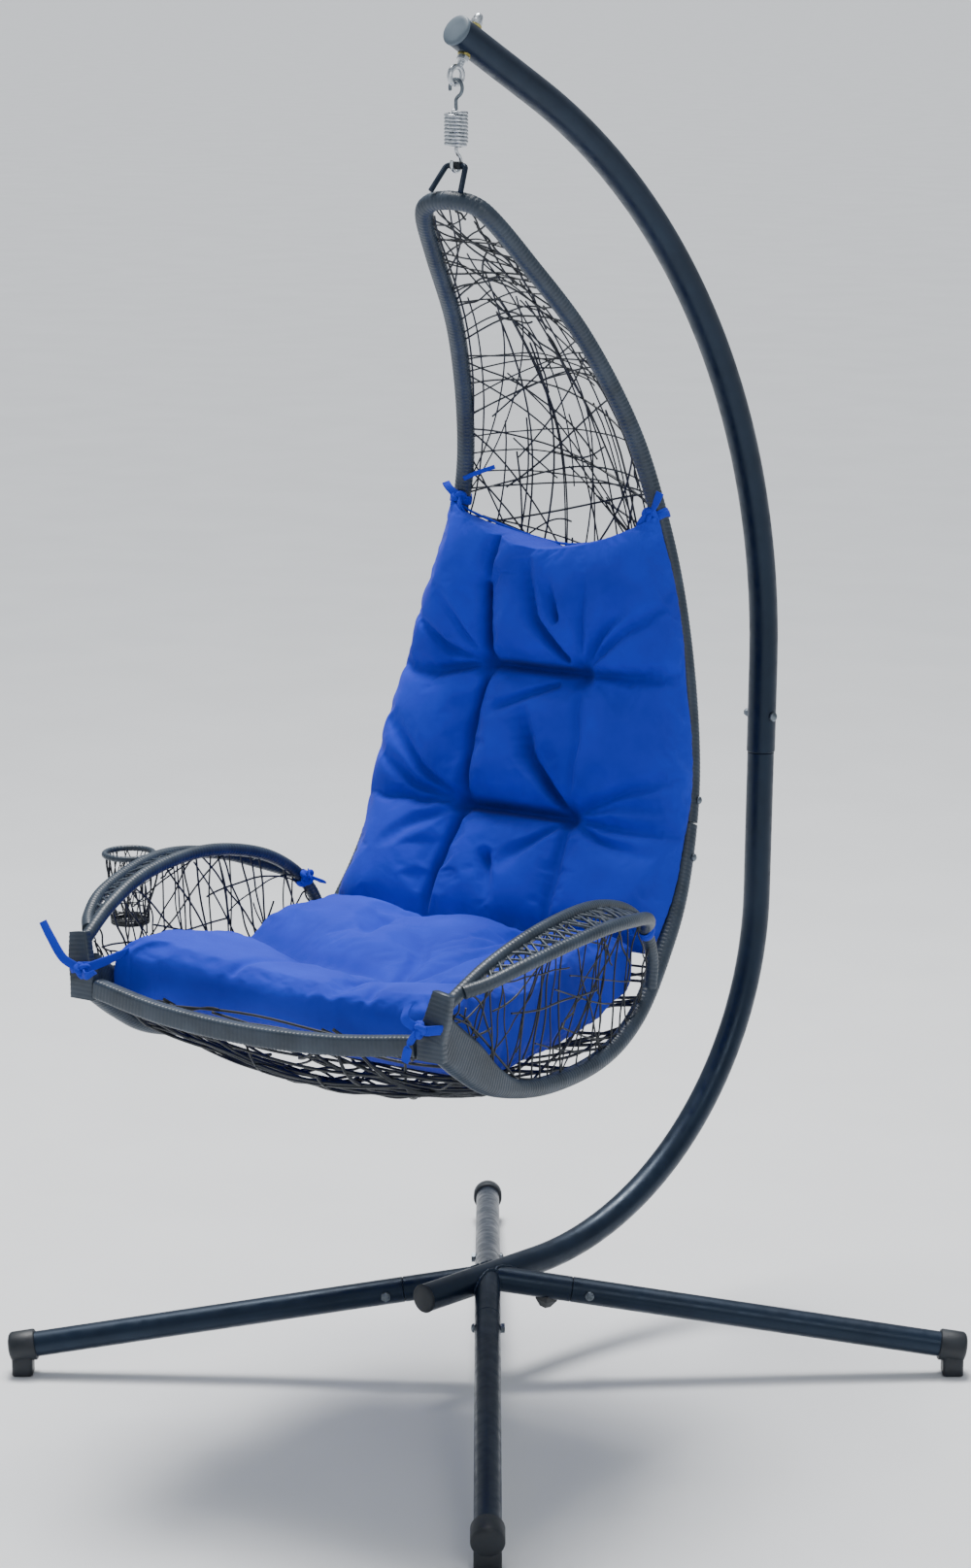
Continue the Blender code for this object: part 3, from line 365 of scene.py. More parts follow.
# %% Woven canvas
def canvas():
    mat, nodes, links, shader, where = finish_nodes("blue_canvas_painted_fold_shade", (0.022, 0.080, 0.50), 0.85)
    fade = noise(nodes, links, where, 9, 4)
    cloth = between(nodes, links, fade, (0.0135, 0.0290, 0.42), (0.0240, 0.0500, 0.60), 0.3, 0.7)
    # Painted shade: the fold attribute multiplies the cloth's colour darker, towards a dull
    # grey-blue. The deeper a modelled fold is pressed in, the darker it is painted. This stands in
    # for the shade that falls in the folds, on top of the shading the lamps give.
    fold = nodes.new("ShaderNodeAttribute")
    fold.attribute_name = "fold"
    # The painted shade's colour: white, so no change, outside the folds, and grey-blue in the
    # deepest ones.
    depth = between(nodes, links, fold.outputs["Fac"], grey(1.0), (0.44, 0.48, 0.58), 0.10, 1.0)
    painted_shade_mix = nodes.new("ShaderNodeMix")
    painted_shade_mix.data_type = "RGBA"
    painted_shade_mix.blend_type = "MULTIPLY"
    painted_shade_mix.inputs["Factor"].default_value = 1.0
    links.new(cloth, painted_shade_mix.inputs["A"])
    links.new(depth, painted_shade_mix.inputs["B"])
    links.new(painted_shade_mix.outputs["Result"], shader.inputs["Base Color"])
    shader.inputs["Sheen Weight"].default_value = 0.04
    shader.inputs["Sheen Roughness"].default_value = 0.4
    shader.inputs["Specular IOR Level"].default_value = 0.18
    threads = []
    for direction in ("X", "Z"):
        wave = nodes.new("ShaderNodeTexWave")
        wave.bands_direction = direction
        wave.inputs["Scale"].default_value = 260
        wave.inputs["Distortion"].default_value = 0.4
        links.new(where, wave.inputs["Vector"])
        threads.append(wave.outputs["Fac"])
    weave = nodes.new("ShaderNodeMath")
    weave.operation = "MULTIPLY"
    links.new(threads[0], weave.inputs[0])
    links.new(threads[1], weave.inputs[1])
    under = bump(nodes, links, shader, noise(nodes, links, where, 90, 5), 0.35, 0.0012)
    bump(nodes, links, shader, weave.outputs["Value"], 0.35, 0.0004, under)
    return mat


CANVAS = canvas()

# %% [markdown]
# ## The bow
# The stand's bow is two steel tubes rolled to an arc on three-roll benders and joined behind the
# chair. Its middle line is straight runs and true arcs, so it is worked out, not drawn by eye.
# The upper tube is a little wider than the lower, and the step between them stays visible.

# %% Middle line of the bow
HUB_Z = 0.152
STAND_Y = 0.0041
BOW_START = -0.131
LOWER_BEND_AT = 0.103
LOWER_BEND_R = 0.496
LOWER_BEND = math.radians(88.9)
STRAIGHT = 0.3635
SEAM = 0.225
UPPER_BEND_R = 1.0
UPPER_BEND_TO = math.radians(150.7)
TIP = 0.177
LOWER_R = 0.0209
UPPER_R = 0.0222


def bow_line():
    """Two lines, below and above the joint of the tubes."""
    low = [(0, BOW_START, HUB_Z), (0, -0.02, HUB_Z), (0, LOWER_BEND_AT, HUB_Z)]
    for a in np.linspace(0, LOWER_BEND, 60)[1:]:
        low.append((0, LOWER_BEND_AT + LOWER_BEND_R * math.sin(a),
                    HUB_Z + LOWER_BEND_R * (1 - math.cos(a))))
    up = np.array((0, math.cos(LOWER_BEND), math.sin(LOWER_BEND)))
    seam = np.array(low[-1]) + up * SEAM
    high = [seam + up * 0.0004, np.array(low[-1]) + up * STRAIGHT]
    centre = high[-1] + np.array((0, -math.sin(LOWER_BEND), math.cos(LOWER_BEND))) * UPPER_BEND_R
    for a in np.linspace(LOWER_BEND, UPPER_BEND_TO, 90)[1:]:
        high.append(centre + np.array((0, math.sin(a), -math.cos(a))) * UPPER_BEND_R)
    last = np.array((0, math.cos(UPPER_BEND_TO), math.sin(UPPER_BEND_TO)))
    high.append(high[-1] + last * TIP)
    shift = np.array((0, STAND_Y, 0))
    return np.array(low + [seam]) + shift, np.array(high) + shift, last


lower_line, upper_line, tip_way = bow_line()
print("bow tube lengths:", round(length_of(lower_line), 3), round(length_of(upper_line), 3), "m")


# %% The two bow tubes
def eased_tube(path, radius, sides=48, ease=0.0012):
    """A tube whose ends are slightly rounded over, as a deburred cut is."""
    path = np.asarray(path, float)
    start = path[0] + (path[1] - path[0]) / np.linalg.norm(path[1] - path[0]) * ease
    end = path[-1] + (path[-2] - path[-1]) / np.linalg.norm(path[-2] - path[-1]) * ease
    path = np.vstack([path[:1], [start], path[1:-1], [end], path[-1:]])
    outlines = np.broadcast_to(round_outline(radius, sides), (len(path), sides, 2)).copy()
    outlines[0] *= 1 - ease / radius
    outlines[-1] *= 1 - ease / radius
    return swept(path, outlines)


piece("bow_lower_tube", [eased_tube(lower_line, LOWER_R)], POWDER_COAT, "stand", ["lower_bow_tube"])
piece("bow_upper_tube", [eased_tube(upper_line, UPPER_R)], POWDER_COAT, "stand", ["upper_bow_tube"])

# %% Moulded cap and plug in the bow's ends
FACE = UPPER_R + 0.0008
CAP_PROFILE = [(0.0, -0.004), (FACE - 0.0006, -0.0003), (FACE, 0.0004), (FACE, 0.0026),
               (FACE - 0.0006, 0.0038), (FACE - 0.002, 0.0048), (FACE * 0.7, 0.0054),
               (FACE * 0.35, 0.0059), (0.0, 0.0060)]
piece("bow_end_cap", [turned(CAP_PROFILE, 48, aim(upper_line[-1], tip_way))], CAP_PLASTIC, "stand",
      ["bow_tip_cap"])
PLUG_FACE = LOWER_R + 0.0006
PLUG_PROFILE = [(r * PLUG_FACE / FACE, z * 0.87) for r, z in CAP_PROFILE]
piece("bow_start_plug", [turned(PLUG_PROFILE, 48, aim(lower_line[0], (0, -1, 0)))], PLASTIC,
      "stand", ["bow_front_plug"])

# %% [markdown]
# ## The legs
# Four stubs are welded to the bow where it crosses the hub, and each carries a leg tube that is
# held by one bolt. A weld shows as a small rippled bead that follows the saddle where one round
# tube meets another. The saddle has an exact form: around the leg, each point slides along the
# leg until it reaches the bow's skin.

# %% Leg tubes and stubs
LEG_R = 0.019
SPREAD = 0.698
FOOT_Z = 0.0425
STUB_END = 0.125
CAP_LENGTH = 0.042
CORNERS = {"front_left": (1, -1), "front_right": (-1, -1),
           "rear_left": (1, 1), "rear_right": (-1, 1)}
ROOT = Vector((0, STAND_Y, HUB_Z))


def leg_run(name):
    """A leg's level direction, its true direction, and its length for each level metre."""
    outward = Vector((*CORNERS[name], 0)).normalized()
    run = outward * SPREAD + Vector((0, 0, FOOT_Z - HUB_Z))
    return outward, run.normalized(), run.length / SPREAD


def saddle_bead(way, across, up):
    """Weld bead along the saddle where a leg's tube meets the bow."""
    line = []
    for a in np.linspace(0, 2 * math.pi, 72, endpoint=False):
        start = (across * math.cos(a) + up * math.sin(a)) * LEG_R
        flat = Vector((way.x, 0, way.z))
        offset = Vector((start.x, 0, start.z))
        b = flat.dot(offset)
        c = offset.length_squared - (LOWER_R + 0.0004) ** 2
        reach = (-b + math.sqrt(max(b * b - flat.length_squared * c, 0))) / flat.length_squared
        line.append(ROOT + start + way * reach)
    line = np.array(line)
    ripple = 0.0026 + 0.0005 * np.sin(np.arange(72) * 2 * math.pi / 4)
    return swelling(line, ripple, 10, closed=True)


for name in CORNERS:
    _, way, stretch = leg_run(name)
    across = Vector((way.y, -way.x, 0)).normalized()
    stub = [ROOT + way * d * stretch for d in (0.008, 0.06, STUB_END - 0.0002)]
    tube = [ROOT + way * d * stretch for d in (STUB_END + 0.0004, 0.4, SPREAD + 0.010)]
    bead = saddle_bead(way, across, way.cross(across))
    piece("leg_root_" + name, [eased_tube(stub, LEG_R, 40, 0.0008), bead], POWDER_COAT, "stand",
          ["leg_stub_" + name])
    piece("leg_run_" + name, [eased_tube(tube, LEG_R, 40, 0.0008)], POWDER_COAT, "stand",
          ["leg_tube_" + name])

# %% [markdown]
# Each leg ends in a moulded boot: a slanted collar that grips the tube, on a block with a level
# sole. Both are soft-edged mouldings, so their edges are rounded over in several steps.

# %% Foot boots
BOOT_R = 0.0235
SOLE_CORE = 0.015


def soft_block(low, high, radius, matrix):
    """A block with rounded upright corners and rounded-over top and bottom."""
    low = Vector(low)
    high = Vector(high)
    half = (high - low) / 2
    middle = np.array((high + low) / 2)[:2]
    outline = soft_rectangle(half.x, half.y, radius, 7)
    rows = []
    for z, inset in ((low.z, 0.0016), (low.z + 0.0006, 0.0005), (low.z + 0.0016, 0),
                     (high.z - 0.003, 0), (high.z - 0.001, 0.001), (high.z, 0.003)):
        pull = outline * (1 - inset / SOLE_CORE) + middle
        rows.append(np.column_stack([pull, np.full(len(pull), z)]))
    return placed(np.vstack(rows), matrix), skin(len(rows), len(outline))


COLLAR = [(0, 0), (BOOT_R - 0.0035, 0), (BOOT_R - 0.0012, 0.0006), (BOOT_R, 0.0024),
          (BOOT_R, 0.034), (BOOT_R - 0.0010, 0.0368), (BOOT_R - 0.0035, 0.0390),
          (BOOT_R - 0.0080, 0.0406), (BOOT_R - 0.0140, 0.0417), (0, 0.042)]
for name in CORNERS:
    outward, way, stretch = leg_run(name)
    start = ROOT + way * (SPREAD - CAP_LENGTH / 2) * stretch
    foot = ROOT + way * SPREAD * stretch
    turn = Matrix.Rotation(math.atan2(outward.y, outward.x), 4, "Z")
    block = soft_block((-0.016, -0.019, 0), (0.015, 0.019, 0.034), 0.006,
                       Matrix.Translation((foot.x, foot.y, 0)) @ turn)
    piece("foot_boot_" + name, [turned(COLLAR, 48, aim(start, way)), block], PLASTIC, "stand",
          ["foot_cap_" + name])

# %% [markdown]
# The leg bolts, the bow's joint bolt and the two moulded stops under the hub already have the
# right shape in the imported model, so they stay and only get a real finish.

# %% Finishes for carried-over hardware
def refinish(node, look):
    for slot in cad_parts[node].material_slots:
        slot.material = look


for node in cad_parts:
    if node.startswith(("leg_bolt", "bow_joint", "frame_bolt", "frame_joiner")):
        refinish(node, DARK_ZINC)
    if node.startswith("stub_stop"):
        refinish(node, PLASTIC)
refinish("eye_bolt_upper_washer", YELLOW_ZINC)
refinish("eye_bolt_lower_washer", YELLOW_ZINC)
refinish("eye_bolt_lock_nut", ZINC)
print("hardware refinished")

# %% [markdown]
# ## Hanging gear
# An eye bolt goes square through the bow's tip, with a domed nut on top. Its ring was bent from
# the same rod as its shank and shows a few turns of thread. The spring is hard-drawn wire: a
# close coil whose ends turn in to the middle and run on into two hooks.

# %% Eye bolt and domed nut
eye_at = Vector(upper_line[-1]) - Vector(tip_way) * 0.027
down = Vector((0, -tip_way[2], tip_way[1]))
EYE_DROP = 0.054
RING_R = 0.012
RING_WIRE = 0.004
THREAD_PITCH = 0.00125
eye = eye_at + down * EYE_DROP
angle = np.linspace(0, 2 * math.pi, 72, endpoint=False)
ring_line = np.array([eye + Vector((0, math.cos(a), math.sin(a))) * RING_R for a in angle])
shank_top = eye_at - down * (UPPER_R + 0.009)
shank_end = eye + (eye_at - eye).normalized() * (RING_R - 0.001)
shank_line = even([shank_top, shank_end], 260)
thread_at = np.linspace(0, length_of(shank_line), 260)
thread = 0.0049 + 0.00035 * np.sin(2 * math.pi * thread_at / THREAD_PITCH)
ring = swept(ring_line, round_outline(RING_WIRE, 20), closed=True)
piece("eye_bolt_forged", [ring, swelling(shank_line, thread, 20)], ZINC, "stand", ["eye_bolt"],
      sharp=60)
saddle = UPPER_R + 0.0016
HEX = [(0.0072, saddle + 0.0003), (0.0085, saddle + 0.0012), (0.0085, saddle + 0.0065),
       (0.0074, saddle + 0.0075)]
DOME = [(0.0072, saddle + 0.0070), (0.0069, saddle + 0.0105), (0.0060, saddle + 0.0138),
        (0.0045, saddle + 0.0162), (0.0022, saddle + 0.0176), (0, saddle + 0.0180)]
nut_place = aim(eye_at, -down, (1, 0, 0))
piece("domed_nut", [turned(HEX, 6, nut_place), turned(DOME, 40, nut_place)], ZINC, "stand",
      ["eye_bolt_dome_nut"], sharp=30)

# %% Spring and hooks
coil_low, coil_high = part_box("spring_coil")
AXIS = np.array(((coil_low.x + coil_high.x) / 2, (coil_low.y + coil_high.y) / 2, 0))
COIL_TOP = coil_high.z
COIL_LOW = coil_low.z
WIRE_R = 0.0024
COIL_R = 0.0147
HOOK_R = 0.012
TURNS = 9


def coil_line():
    """A close helix whose last half turns wind in to the middle."""
    line = []
    steps = 36
    lift = WIRE_R * 1.02
    for i in range(TURNS * steps + 1):
        a = 2 * math.pi * i / steps
        z = COIL_TOP - lift - (COIL_TOP - COIL_LOW - 2 * lift) * i / (TURNS * steps)
        line.append((COIL_R * math.cos(a), COIL_R * math.sin(a), z))
    top = []
    end = []
    for i in range(1, 16):
        t = i / 16
        r = COIL_R * (1 - smooth(t))
        a = -math.pi * 0.9 * t
        top.append((r * math.cos(a), r * math.sin(a), line[0][2] + 0.006 * t * t))
        a = math.pi * 0.9 * t
        end.append((r * math.cos(a), r * math.sin(a), line[-1][2] - 0.006 * t * t))
    line = top[::-1] + line + end
    return np.array(line) + AXIS


def hook_line(centre_z, across, up, join_z):
    """Open hook: most of a circle, then a short stem to the coil."""
    across = np.array(across, float)
    up = np.array(up, float)
    centre = AXIS + np.array((0, 0, centre_z))
    angle = np.radians(np.linspace(200, -68, 60))
    arc = centre + (np.outer(np.cos(angle), across) + np.outer(np.sin(angle), up)) * HOOK_R
    stem = centre - up * (HOOK_R + 0.0045)
    return np.vstack([arc, [stem], [AXIS + np.array((0, 0, join_z))]])


def eased_wire(path, radius, count=90):
    """A round wire through a few points, with its free end eased."""
    scale = np.ones(count)
    scale[0] = 0.6
    return swelling(even(curve(path, count * 2), count), scale * radius, 16)


HOOK_WIRE_R = 0.0025
upper_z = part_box("spring_upper_hook")[1].z - HOOK_WIRE_R - HOOK_R
lower_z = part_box("spring_lower_hook")[0].z + HOOK_WIRE_R + HOOK_R
piece("spring_wire", [swept(coil_line(), round_outline(WIRE_R, 12))], ZINC, "spring_top",
      ["spring_coil"], sharp=80,
      ends=("spring_top", "spring_bottom",
            tuple(AXIS + (0, 0, COIL_TOP)), tuple(AXIS + (0, 0, COIL_LOW))))
top_hook = hook_line(upper_z, (1, 0, 0), (0, 0, 1), COIL_TOP + 0.001)
piece("spring_top_hook", [eased_wire(top_hook, HOOK_WIRE_R)], DARK_ZINC, "spring_top",
      ["spring_upper_hook"], sharp=80)
chair_back = (-math.sin(CHAIR_TURN), math.cos(CHAIR_TURN), 0)
low_hook = hook_line(lower_z, chair_back, (0, 0, -1), COIL_LOW - 0.001)
piece("spring_low_hook", [eased_wire(low_hook, HOOK_WIRE_R)], ZINC, "spring_bottom",
      ["spring_lower_hook"], sharp=80)

# %% Loop and sleeve
BAR_HALF = 0.0145
bar_z = HANG.z
foot = (0.0245, -0.0275, 1.7625)
corner = (BAR_HALF + 0.0012, 0.0, bar_z)
loop = [foot, corner, (-corner[0], corner[1], corner[2]), (-foot[0], foot[1], foot[2])]
chair_piece("loop_rod", [swept(bent(loop, 0.006, 90), round_outline(0.004, 20))], POWDER_COAT,
            ["hanging_loop"], sharp=70)
BUSH_R = 0.0055
half = BAR_HALF - BUSH_R
sleeve = even([(-half, 0, bar_z), (half, 0, bar_z)], 24)
rings = BUSH_R - 0.0003 * (np.arange(24) % 4 == 1)
piece("loop_bush", [swelling(sleeve, rings, 28)], PLASTIC, "loop_collar", ["loop_sleeve"],
      own_axes=True)

# %% [markdown]
# ## Wrapped rails
# The chair's frame is steel tube wound tightly with flat resin strip, one turn against the next.
# The wrap is modelled, not painted: the tube's radius dips at every join between turns, and the
# dip runs round the tube as a screw thread does, so it reads as one long winding.

# %% Wrapping a rail
STRIP = 0.0062
RIDGE = 0.0007


def wrap_depth(distance, angle, strip=STRIP):
    """0 on a strip's crown and 1 in the groove between two turns."""
    phase = distance / strip + angle / (2 * math.pi)
    return 1 - np.abs(np.sin(math.pi * phase)) ** 0.55


def wrapped(path, radius, sides=20, hint=None, closed=False, shape=None, strip=STRIP):
    """A round or shaped rail with its wrap. shape gives a scale in (side, up) for each point."""
    total = length_of(path)
    turns = max(int(total / strip), 1)
    strip = total / turns
    path = even(path, turns * 6 + 1)
    if closed:
        path = path[:-1]
    at = np.arange(len(path)) * total / (turns * 6)
    angle = 2 * np.pi * np.arange(sides) / sides
    dip = wrap_depth(at[:, None], angle[None], strip)
    r = radius - RIDGE * dip
    outline = np.stack([np.cos(angle)[None] * r, np.sin(angle)[None] * r], -1)
    if shape is not None:
        outline = shape(path, outline)
    return swept(path, outline, hint, closed)


RAIL = [
    (0.0, -0.017, 1.750), (0.033, -0.013, 1.745), (0.055, 0.003, 1.725), (0.076, 0.062, 1.664),
    (0.107, 0.165, 1.553), (0.140, 0.243, 1.420), (0.166, 0.279, 1.300), (0.200, 0.280, 1.174),
    (0.234, 0.259, 1.029), (0.258, 0.227, 0.895), (0.272, 0.174, 0.765), (0.280, 0.108, 0.680),
    (0.285, 0.024, 0.605), (0.286, -0.080, 0.569), (0.286, -0.228, 0.570), (0.286, -0.360, 0.602),
    (0.286, -0.440, 0.645), (0.286, -0.515, 0.700),
]
RAIL_R = 0.0134
SEAM_Z = 0.849
rail_line = curve(RAIL, 641)
hoop_side = rail_line[rail_line[:, 2] > SEAM_Z + 0.0008]
seat_side = rail_line[rail_line[:, 2] < SEAM_Z - 0.0008]
print("main rail, top to front corner:", round(length_of(rail_line), 3), "m on each side")


def other_side(points, side):
    return np.asarray(points, float) * (side, 1, 1)


# %% Hoop and seat rails
hoop_line = np.vstack([other_side(hoop_side[::-1], -1)[:-1], hoop_side])
chair_piece("hoop_wrapped", [wrapped(hoop_line, RAIL_R, 24)], WRAP, ["upper_hoop"])


def deep_front(path, outline):
    """Near the front corner the rail's upper half rises into a web."""
    rise = 0.034 * smooth((-0.29 - path[:, 1]) / 0.16)
    lifted = outline.copy()
    lifted[:, :, 1] += np.where(outline[:, :, 1] > 0.001, rise[:, None], 0)
    return lifted


SIDES = ((1, "left"), (-1, "right"))
for side, word in SIDES:
    line = seat_side[seat_side[:, 1] > -0.5115]
    rail = wrapped(other_side(line, side), RAIL_R, 24, hint=(1, 0, 0), shape=deep_front)
    chair_piece("seat_rail_wrapped_" + word, [rail], WRAP, ["seat_rail_" + word])

# %% Arm rails
ARM_INNER = [
    (0.299, -0.492, 0.752), (0.310, -0.418, 0.785), (0.320, -0.326, 0.808), (0.321, -0.220, 0.815),
    (0.315, -0.130, 0.806), (0.305, -0.040, 0.779), (0.296, 0.028, 0.735), (0.289, 0.062, 0.685),
    (0.287, 0.062, 0.640),
]
ARM_OUTER = [
    (0.308, -0.470, 0.763), (0.330, -0.440, 0.772), (0.354, -0.382, 0.788), (0.371, -0.295, 0.800),
    (0.379, -0.218, 0.804), (0.377, -0.149, 0.798), (0.357, -0.075, 0.782), (0.330, -0.020, 0.760),
    (0.303, 0.020, 0.742),
]
ARM_R = 0.0095
arm_inner = curve(ARM_INNER, 300)
arm_outer = curve(ARM_OUTER, 300)
for side, word in SIDES:
    for place, line in (("inner", arm_inner), ("outer", arm_outer)):
        rail = wrapped(other_side(line, side), ARM_R, 18)
        chair_piece(f"arm_{place}_wrapped_{word}", [rail], WRAP, [f"arm_{place}_rail_{word}"])


# %% Front rail and corner bands
def wrapped_bar(path, outlines, hint, strip=STRIP):
    """A flat bar wound with strip: the outline dips at each join."""
    total = length_of(path)
    turns = int(total / strip)
    count = turns * 6 + 1
    sizes = np.asarray(outlines, float)
    if sizes.ndim == 2:
        sizes = np.broadcast_to(sizes, (2,) + sizes.shape)
    spot = np.linspace(0, len(sizes) - 1, count)
    low = np.floor(spot).astype(int).clip(0, len(sizes) - 2)
    mix = (spot - low)[:, None, None]
    shape = sizes[low] * (1 - mix) + sizes[low + 1] * mix
    m = shape.shape[1]
    dip = wrap_depth(np.linspace(0, turns, count)[:, None] * strip,
                     2 * np.pi * np.arange(m)[None] / m, strip)
    reach = np.linalg.norm(shape, axis=2, keepdims=True)
    shape = shape * (1 - RIDGE * dip[:, :, None] / reach)
    return swept(even(path, count), shape, hint)


FRONT = [(-0.2612, -0.512, 0.694), (-0.14, -0.529, 0.681), (0.0, -0.535, 0.676),
         (0.14, -0.529, 0.681), (0.2612, -0.512, 0.694)]
bar = wrapped_bar(curve(FRONT, 200), soft_rectangle(0.0138, 0.0098, 0.005), (0, 0, 1))
chair_piece("front_rail_wrapped", [bar], WRAP, ["front_rail"])
BAND = [(0.285, -0.5115, 0.677), (0.285, -0.5115, 0.706), (0.292, -0.508, 0.730),
        (0.298, -0.502, 0.768)]
BAND_HALF_WIDTHS = (0.0205, 0.0205, 0.018, 0.0145)
band_outlines = [soft_rectangle(w, 0.0079, 0.0035) for w in BAND_HALF_WIDTHS]
for side, word in SIDES:
    bar = wrapped_bar(other_side(BAND, side), band_outlines, (1, 0, 0))
    chair_piece("corner_wrapped_" + word, [bar], WRAP, ["corner_band_" + word])

# %% [markdown]
# ## Open weave
# Between the rails a maker runs strand after strand in free directions, each one round the rails
# and over and under those already there, until the mesh holds. No pattern repeats. Here seeded
# random lines are drawn on the sagging surface between the rails, and each becomes a thin tube
# that bobs over and under it. A few long strands run from rail to rail and many short ones join
# them up, as in the real weave.

# %% Random strands on a surface
def on_surface(grid, a, b):
    """Points and outward directions at fractions a (along) and b (across) of a grid."""
    grid = np.asarray(grid, float)
    rows, cols = grid.shape[:2]

    def at(a, b):
        x = np.clip(a, 0, 1) * (rows - 1)
        y = np.clip(b, 0, 1) * (cols - 1)
        i = np.minimum(x.astype(int), rows - 2)
        j = np.minimum(y.astype(int), cols - 2)
        u = (x - i)[:, None]
        v = (y - j)[:, None]
        return (grid[i, j] * (1 - u) * (1 - v) + grid[i + 1, j] * u * (1 - v)
                + grid[i, j + 1] * (1 - u) * v + grid[i + 1, j + 1] * u * v)

    e = 0.01
    along = at(a + e, b) - at(a - e, b)
    across = at(a, b + e) - at(a, b - e)
    out = np.cross(along, across)
    out = out / np.maximum(np.linalg.norm(out, axis=1), 1e-9)[:, None]
    return at(a, b), out


def strand(grid, start, end, radius, bob, rng, bow=0.012, points=22):
    """One strand between two (along, across) fractions, bobbing through the weave."""
    t = np.linspace(0, 1, points)
    a = start[0] + (end[0] - start[0]) * t
    b = start[1] + (end[1] - start[1]) * t
    a = a + rng.uniform(-bow, bow) * np.sin(math.pi * t)
    b = b + rng.uniform(-bow, bow) * np.sin(math.pi * t)
    place, out = on_surface(grid, a, b)
    waves = rng.uniform(2, 5)
    place = place + out * (bob * np.sin(waves * math.pi * t + rng.uniform(0, 6)))[:, None]
    return swept(place, round_outline(radius, 6))


def open_weave(grid, plan, seed, radius=0.0010, bob=0.0022):
    """Strands by a plan of (how many, kind): across, along, slant, or short in any direction."""
    rng = np.random.default_rng(seed)
    parts = []
    for count, kind in plan:
        for k in range(count):
            if kind == "across":
                a = (k + rng.uniform(0, 1)) / count
                start = (a, 0.0)
                end = (np.clip(a + rng.uniform(-0.09, 0.09), 0, 1), 1.0)
            elif kind == "along":
                b = 0.05 + 0.9 * (k + rng.uniform(0, 1)) / count
                a = rng.uniform(0, 0.55)
                start = (a, b)
                end = (min(a + rng.uniform(0.3, 0.6), 1.0),
                       np.clip(b + rng.uniform(-0.3, 0.3), 0, 1))
            elif kind == "slant":
                a = (k + rng.uniform(0, 1)) / count
                side = rng.integers(0, 2)
                start = (a, float(side))
                end = (np.clip(a + rng.uniform(-0.35, 0.35), 0, 1),
                       rng.uniform(0.3, 1.0) if side == 0 else rng.uniform(0.0, 0.7))
            else:
                start = ((k + rng.uniform(0, 1)) / count, rng.uniform(0, 1))
                turn = rng.uniform(0, 2 * math.pi)
                reach = rng.uniform(0.10, 0.22)
                end = (np.clip(start[0] + reach * math.cos(turn) * 0.6, 0, 1),
                       np.clip(start[1] + reach * math.sin(turn) * 2.0, 0, 1))
            thick = radius * rng.uniform(0.85, 1.25)
            parts.append(strand(grid, start, end, thick, bob, rng))
    return parts


# %% Back and seat weave
def away(line):
    """At each point of a rail, the direction away from the sitter, square to x."""
    along = np.gradient(np.asarray(line), axis=0)
    flat = along * (0, 1, 1)
    flat = flat / np.linalg.norm(flat, axis=1)[:, None]
    return np.column_stack([np.zeros(len(flat)), -flat[:, 2], flat[:, 1]])


def sagging(line, sags, inset, columns=13):
    """Grid from rail to rail whose rows sag away from the sitter."""
    u = np.linspace(-1, 1, columns)
    out = away(line)
    grid = np.zeros((len(line), columns, 3))
    for i, (p, n, sag) in enumerate(zip(line, out, sags)):
        half = p[0] - inset
        grid[i] = np.array([p * (0, 1, 1)] * columns) + np.outer(sag * (1 - u * u), n)
        grid[i, :, 0] += half * u
    return grid


keep = (rail_line[:, 2] > 0.690) & (rail_line[:, 2] < 1.740) & (rail_line[:, 1] > -0.1)
back_line = even(rail_line[keep], 40)
back_grid = sagging(back_line, 0.062 * smooth((1.70 - back_line[:, 2]) / 0.35), 0.011)
back_plan = [(52, "across"), (20, "along"), (52, "slant"), (40, "short")]
chair_piece("back_weave", open_weave(back_grid, back_plan, 11, 0.00135, 0.0016), STRAND,
            ["back_net"])
keep = (rail_line[:, 2] < 0.6885) & (rail_line[:, 1] > -0.500)
seat_line = even(rail_line[keep], 30)
seat_grid = sagging(seat_line, 0.044 * smooth((seat_line[:, 1] + 0.500) / 0.2), 0.011)
seat_plan = [(26, "across"), (16, "along"), (24, "slant"), (16, "short")]
chair_piece("seat_weave", open_weave(seat_grid, seat_plan, 23, 0.0021, 0.0040), STRAND,
            ["seat_net"])


# %% Side weave and arm lattice
def nearest(line, y):
    return line[np.argmin(np.abs(line[:, 1] - y))]


def oval_grid(side):
    """Surface between the seat rail and the arm."""
    lower = seat_side[(seat_side[:, 2] < 0.70) & (seat_side[:, 1] < 0.06)]
    upper = arm_inner[arm_inner[:, 2] > 0.70]
    grid = []
    for y in np.linspace(-0.470, 0.045, 26):
        low = nearest(lower, y).copy()
        high = nearest(upper, y).copy()
        low[1] = high[1] = y
        low[2] += 0.010 + 0.034 * float(smooth((-0.29 - y) / 0.16))
        high[2] = max(high[2] - 0.006, low[2] + 0.004)
        grid.append([low + (high - low) * k / 8 for k in range(9)])
    return np.array(grid) * (side, 1, 1)


def lattice(side, seed):
    """Strands laid criss-cross between the two arm rails."""
    rng = np.random.default_rng(seed)
    parts = []
    for y in np.linspace(-0.43, -0.045, 24):
        for lean in (-0.026, 0.026):
            a = nearest(arm_inner, y)
            b = nearest(arm_outer, y + lean + rng.uniform(-0.006, 0.006))
            lift = np.array((0, 0, rng.uniform(-0.003, 0.004)))
            line = bent([a, (a + b) / 2 + lift, b], 0.02, 8) * (side, 1, 1)
            parts.append(swept(line, round_outline(rng.uniform(0.0017, 0.0024), 8)))
    return parts


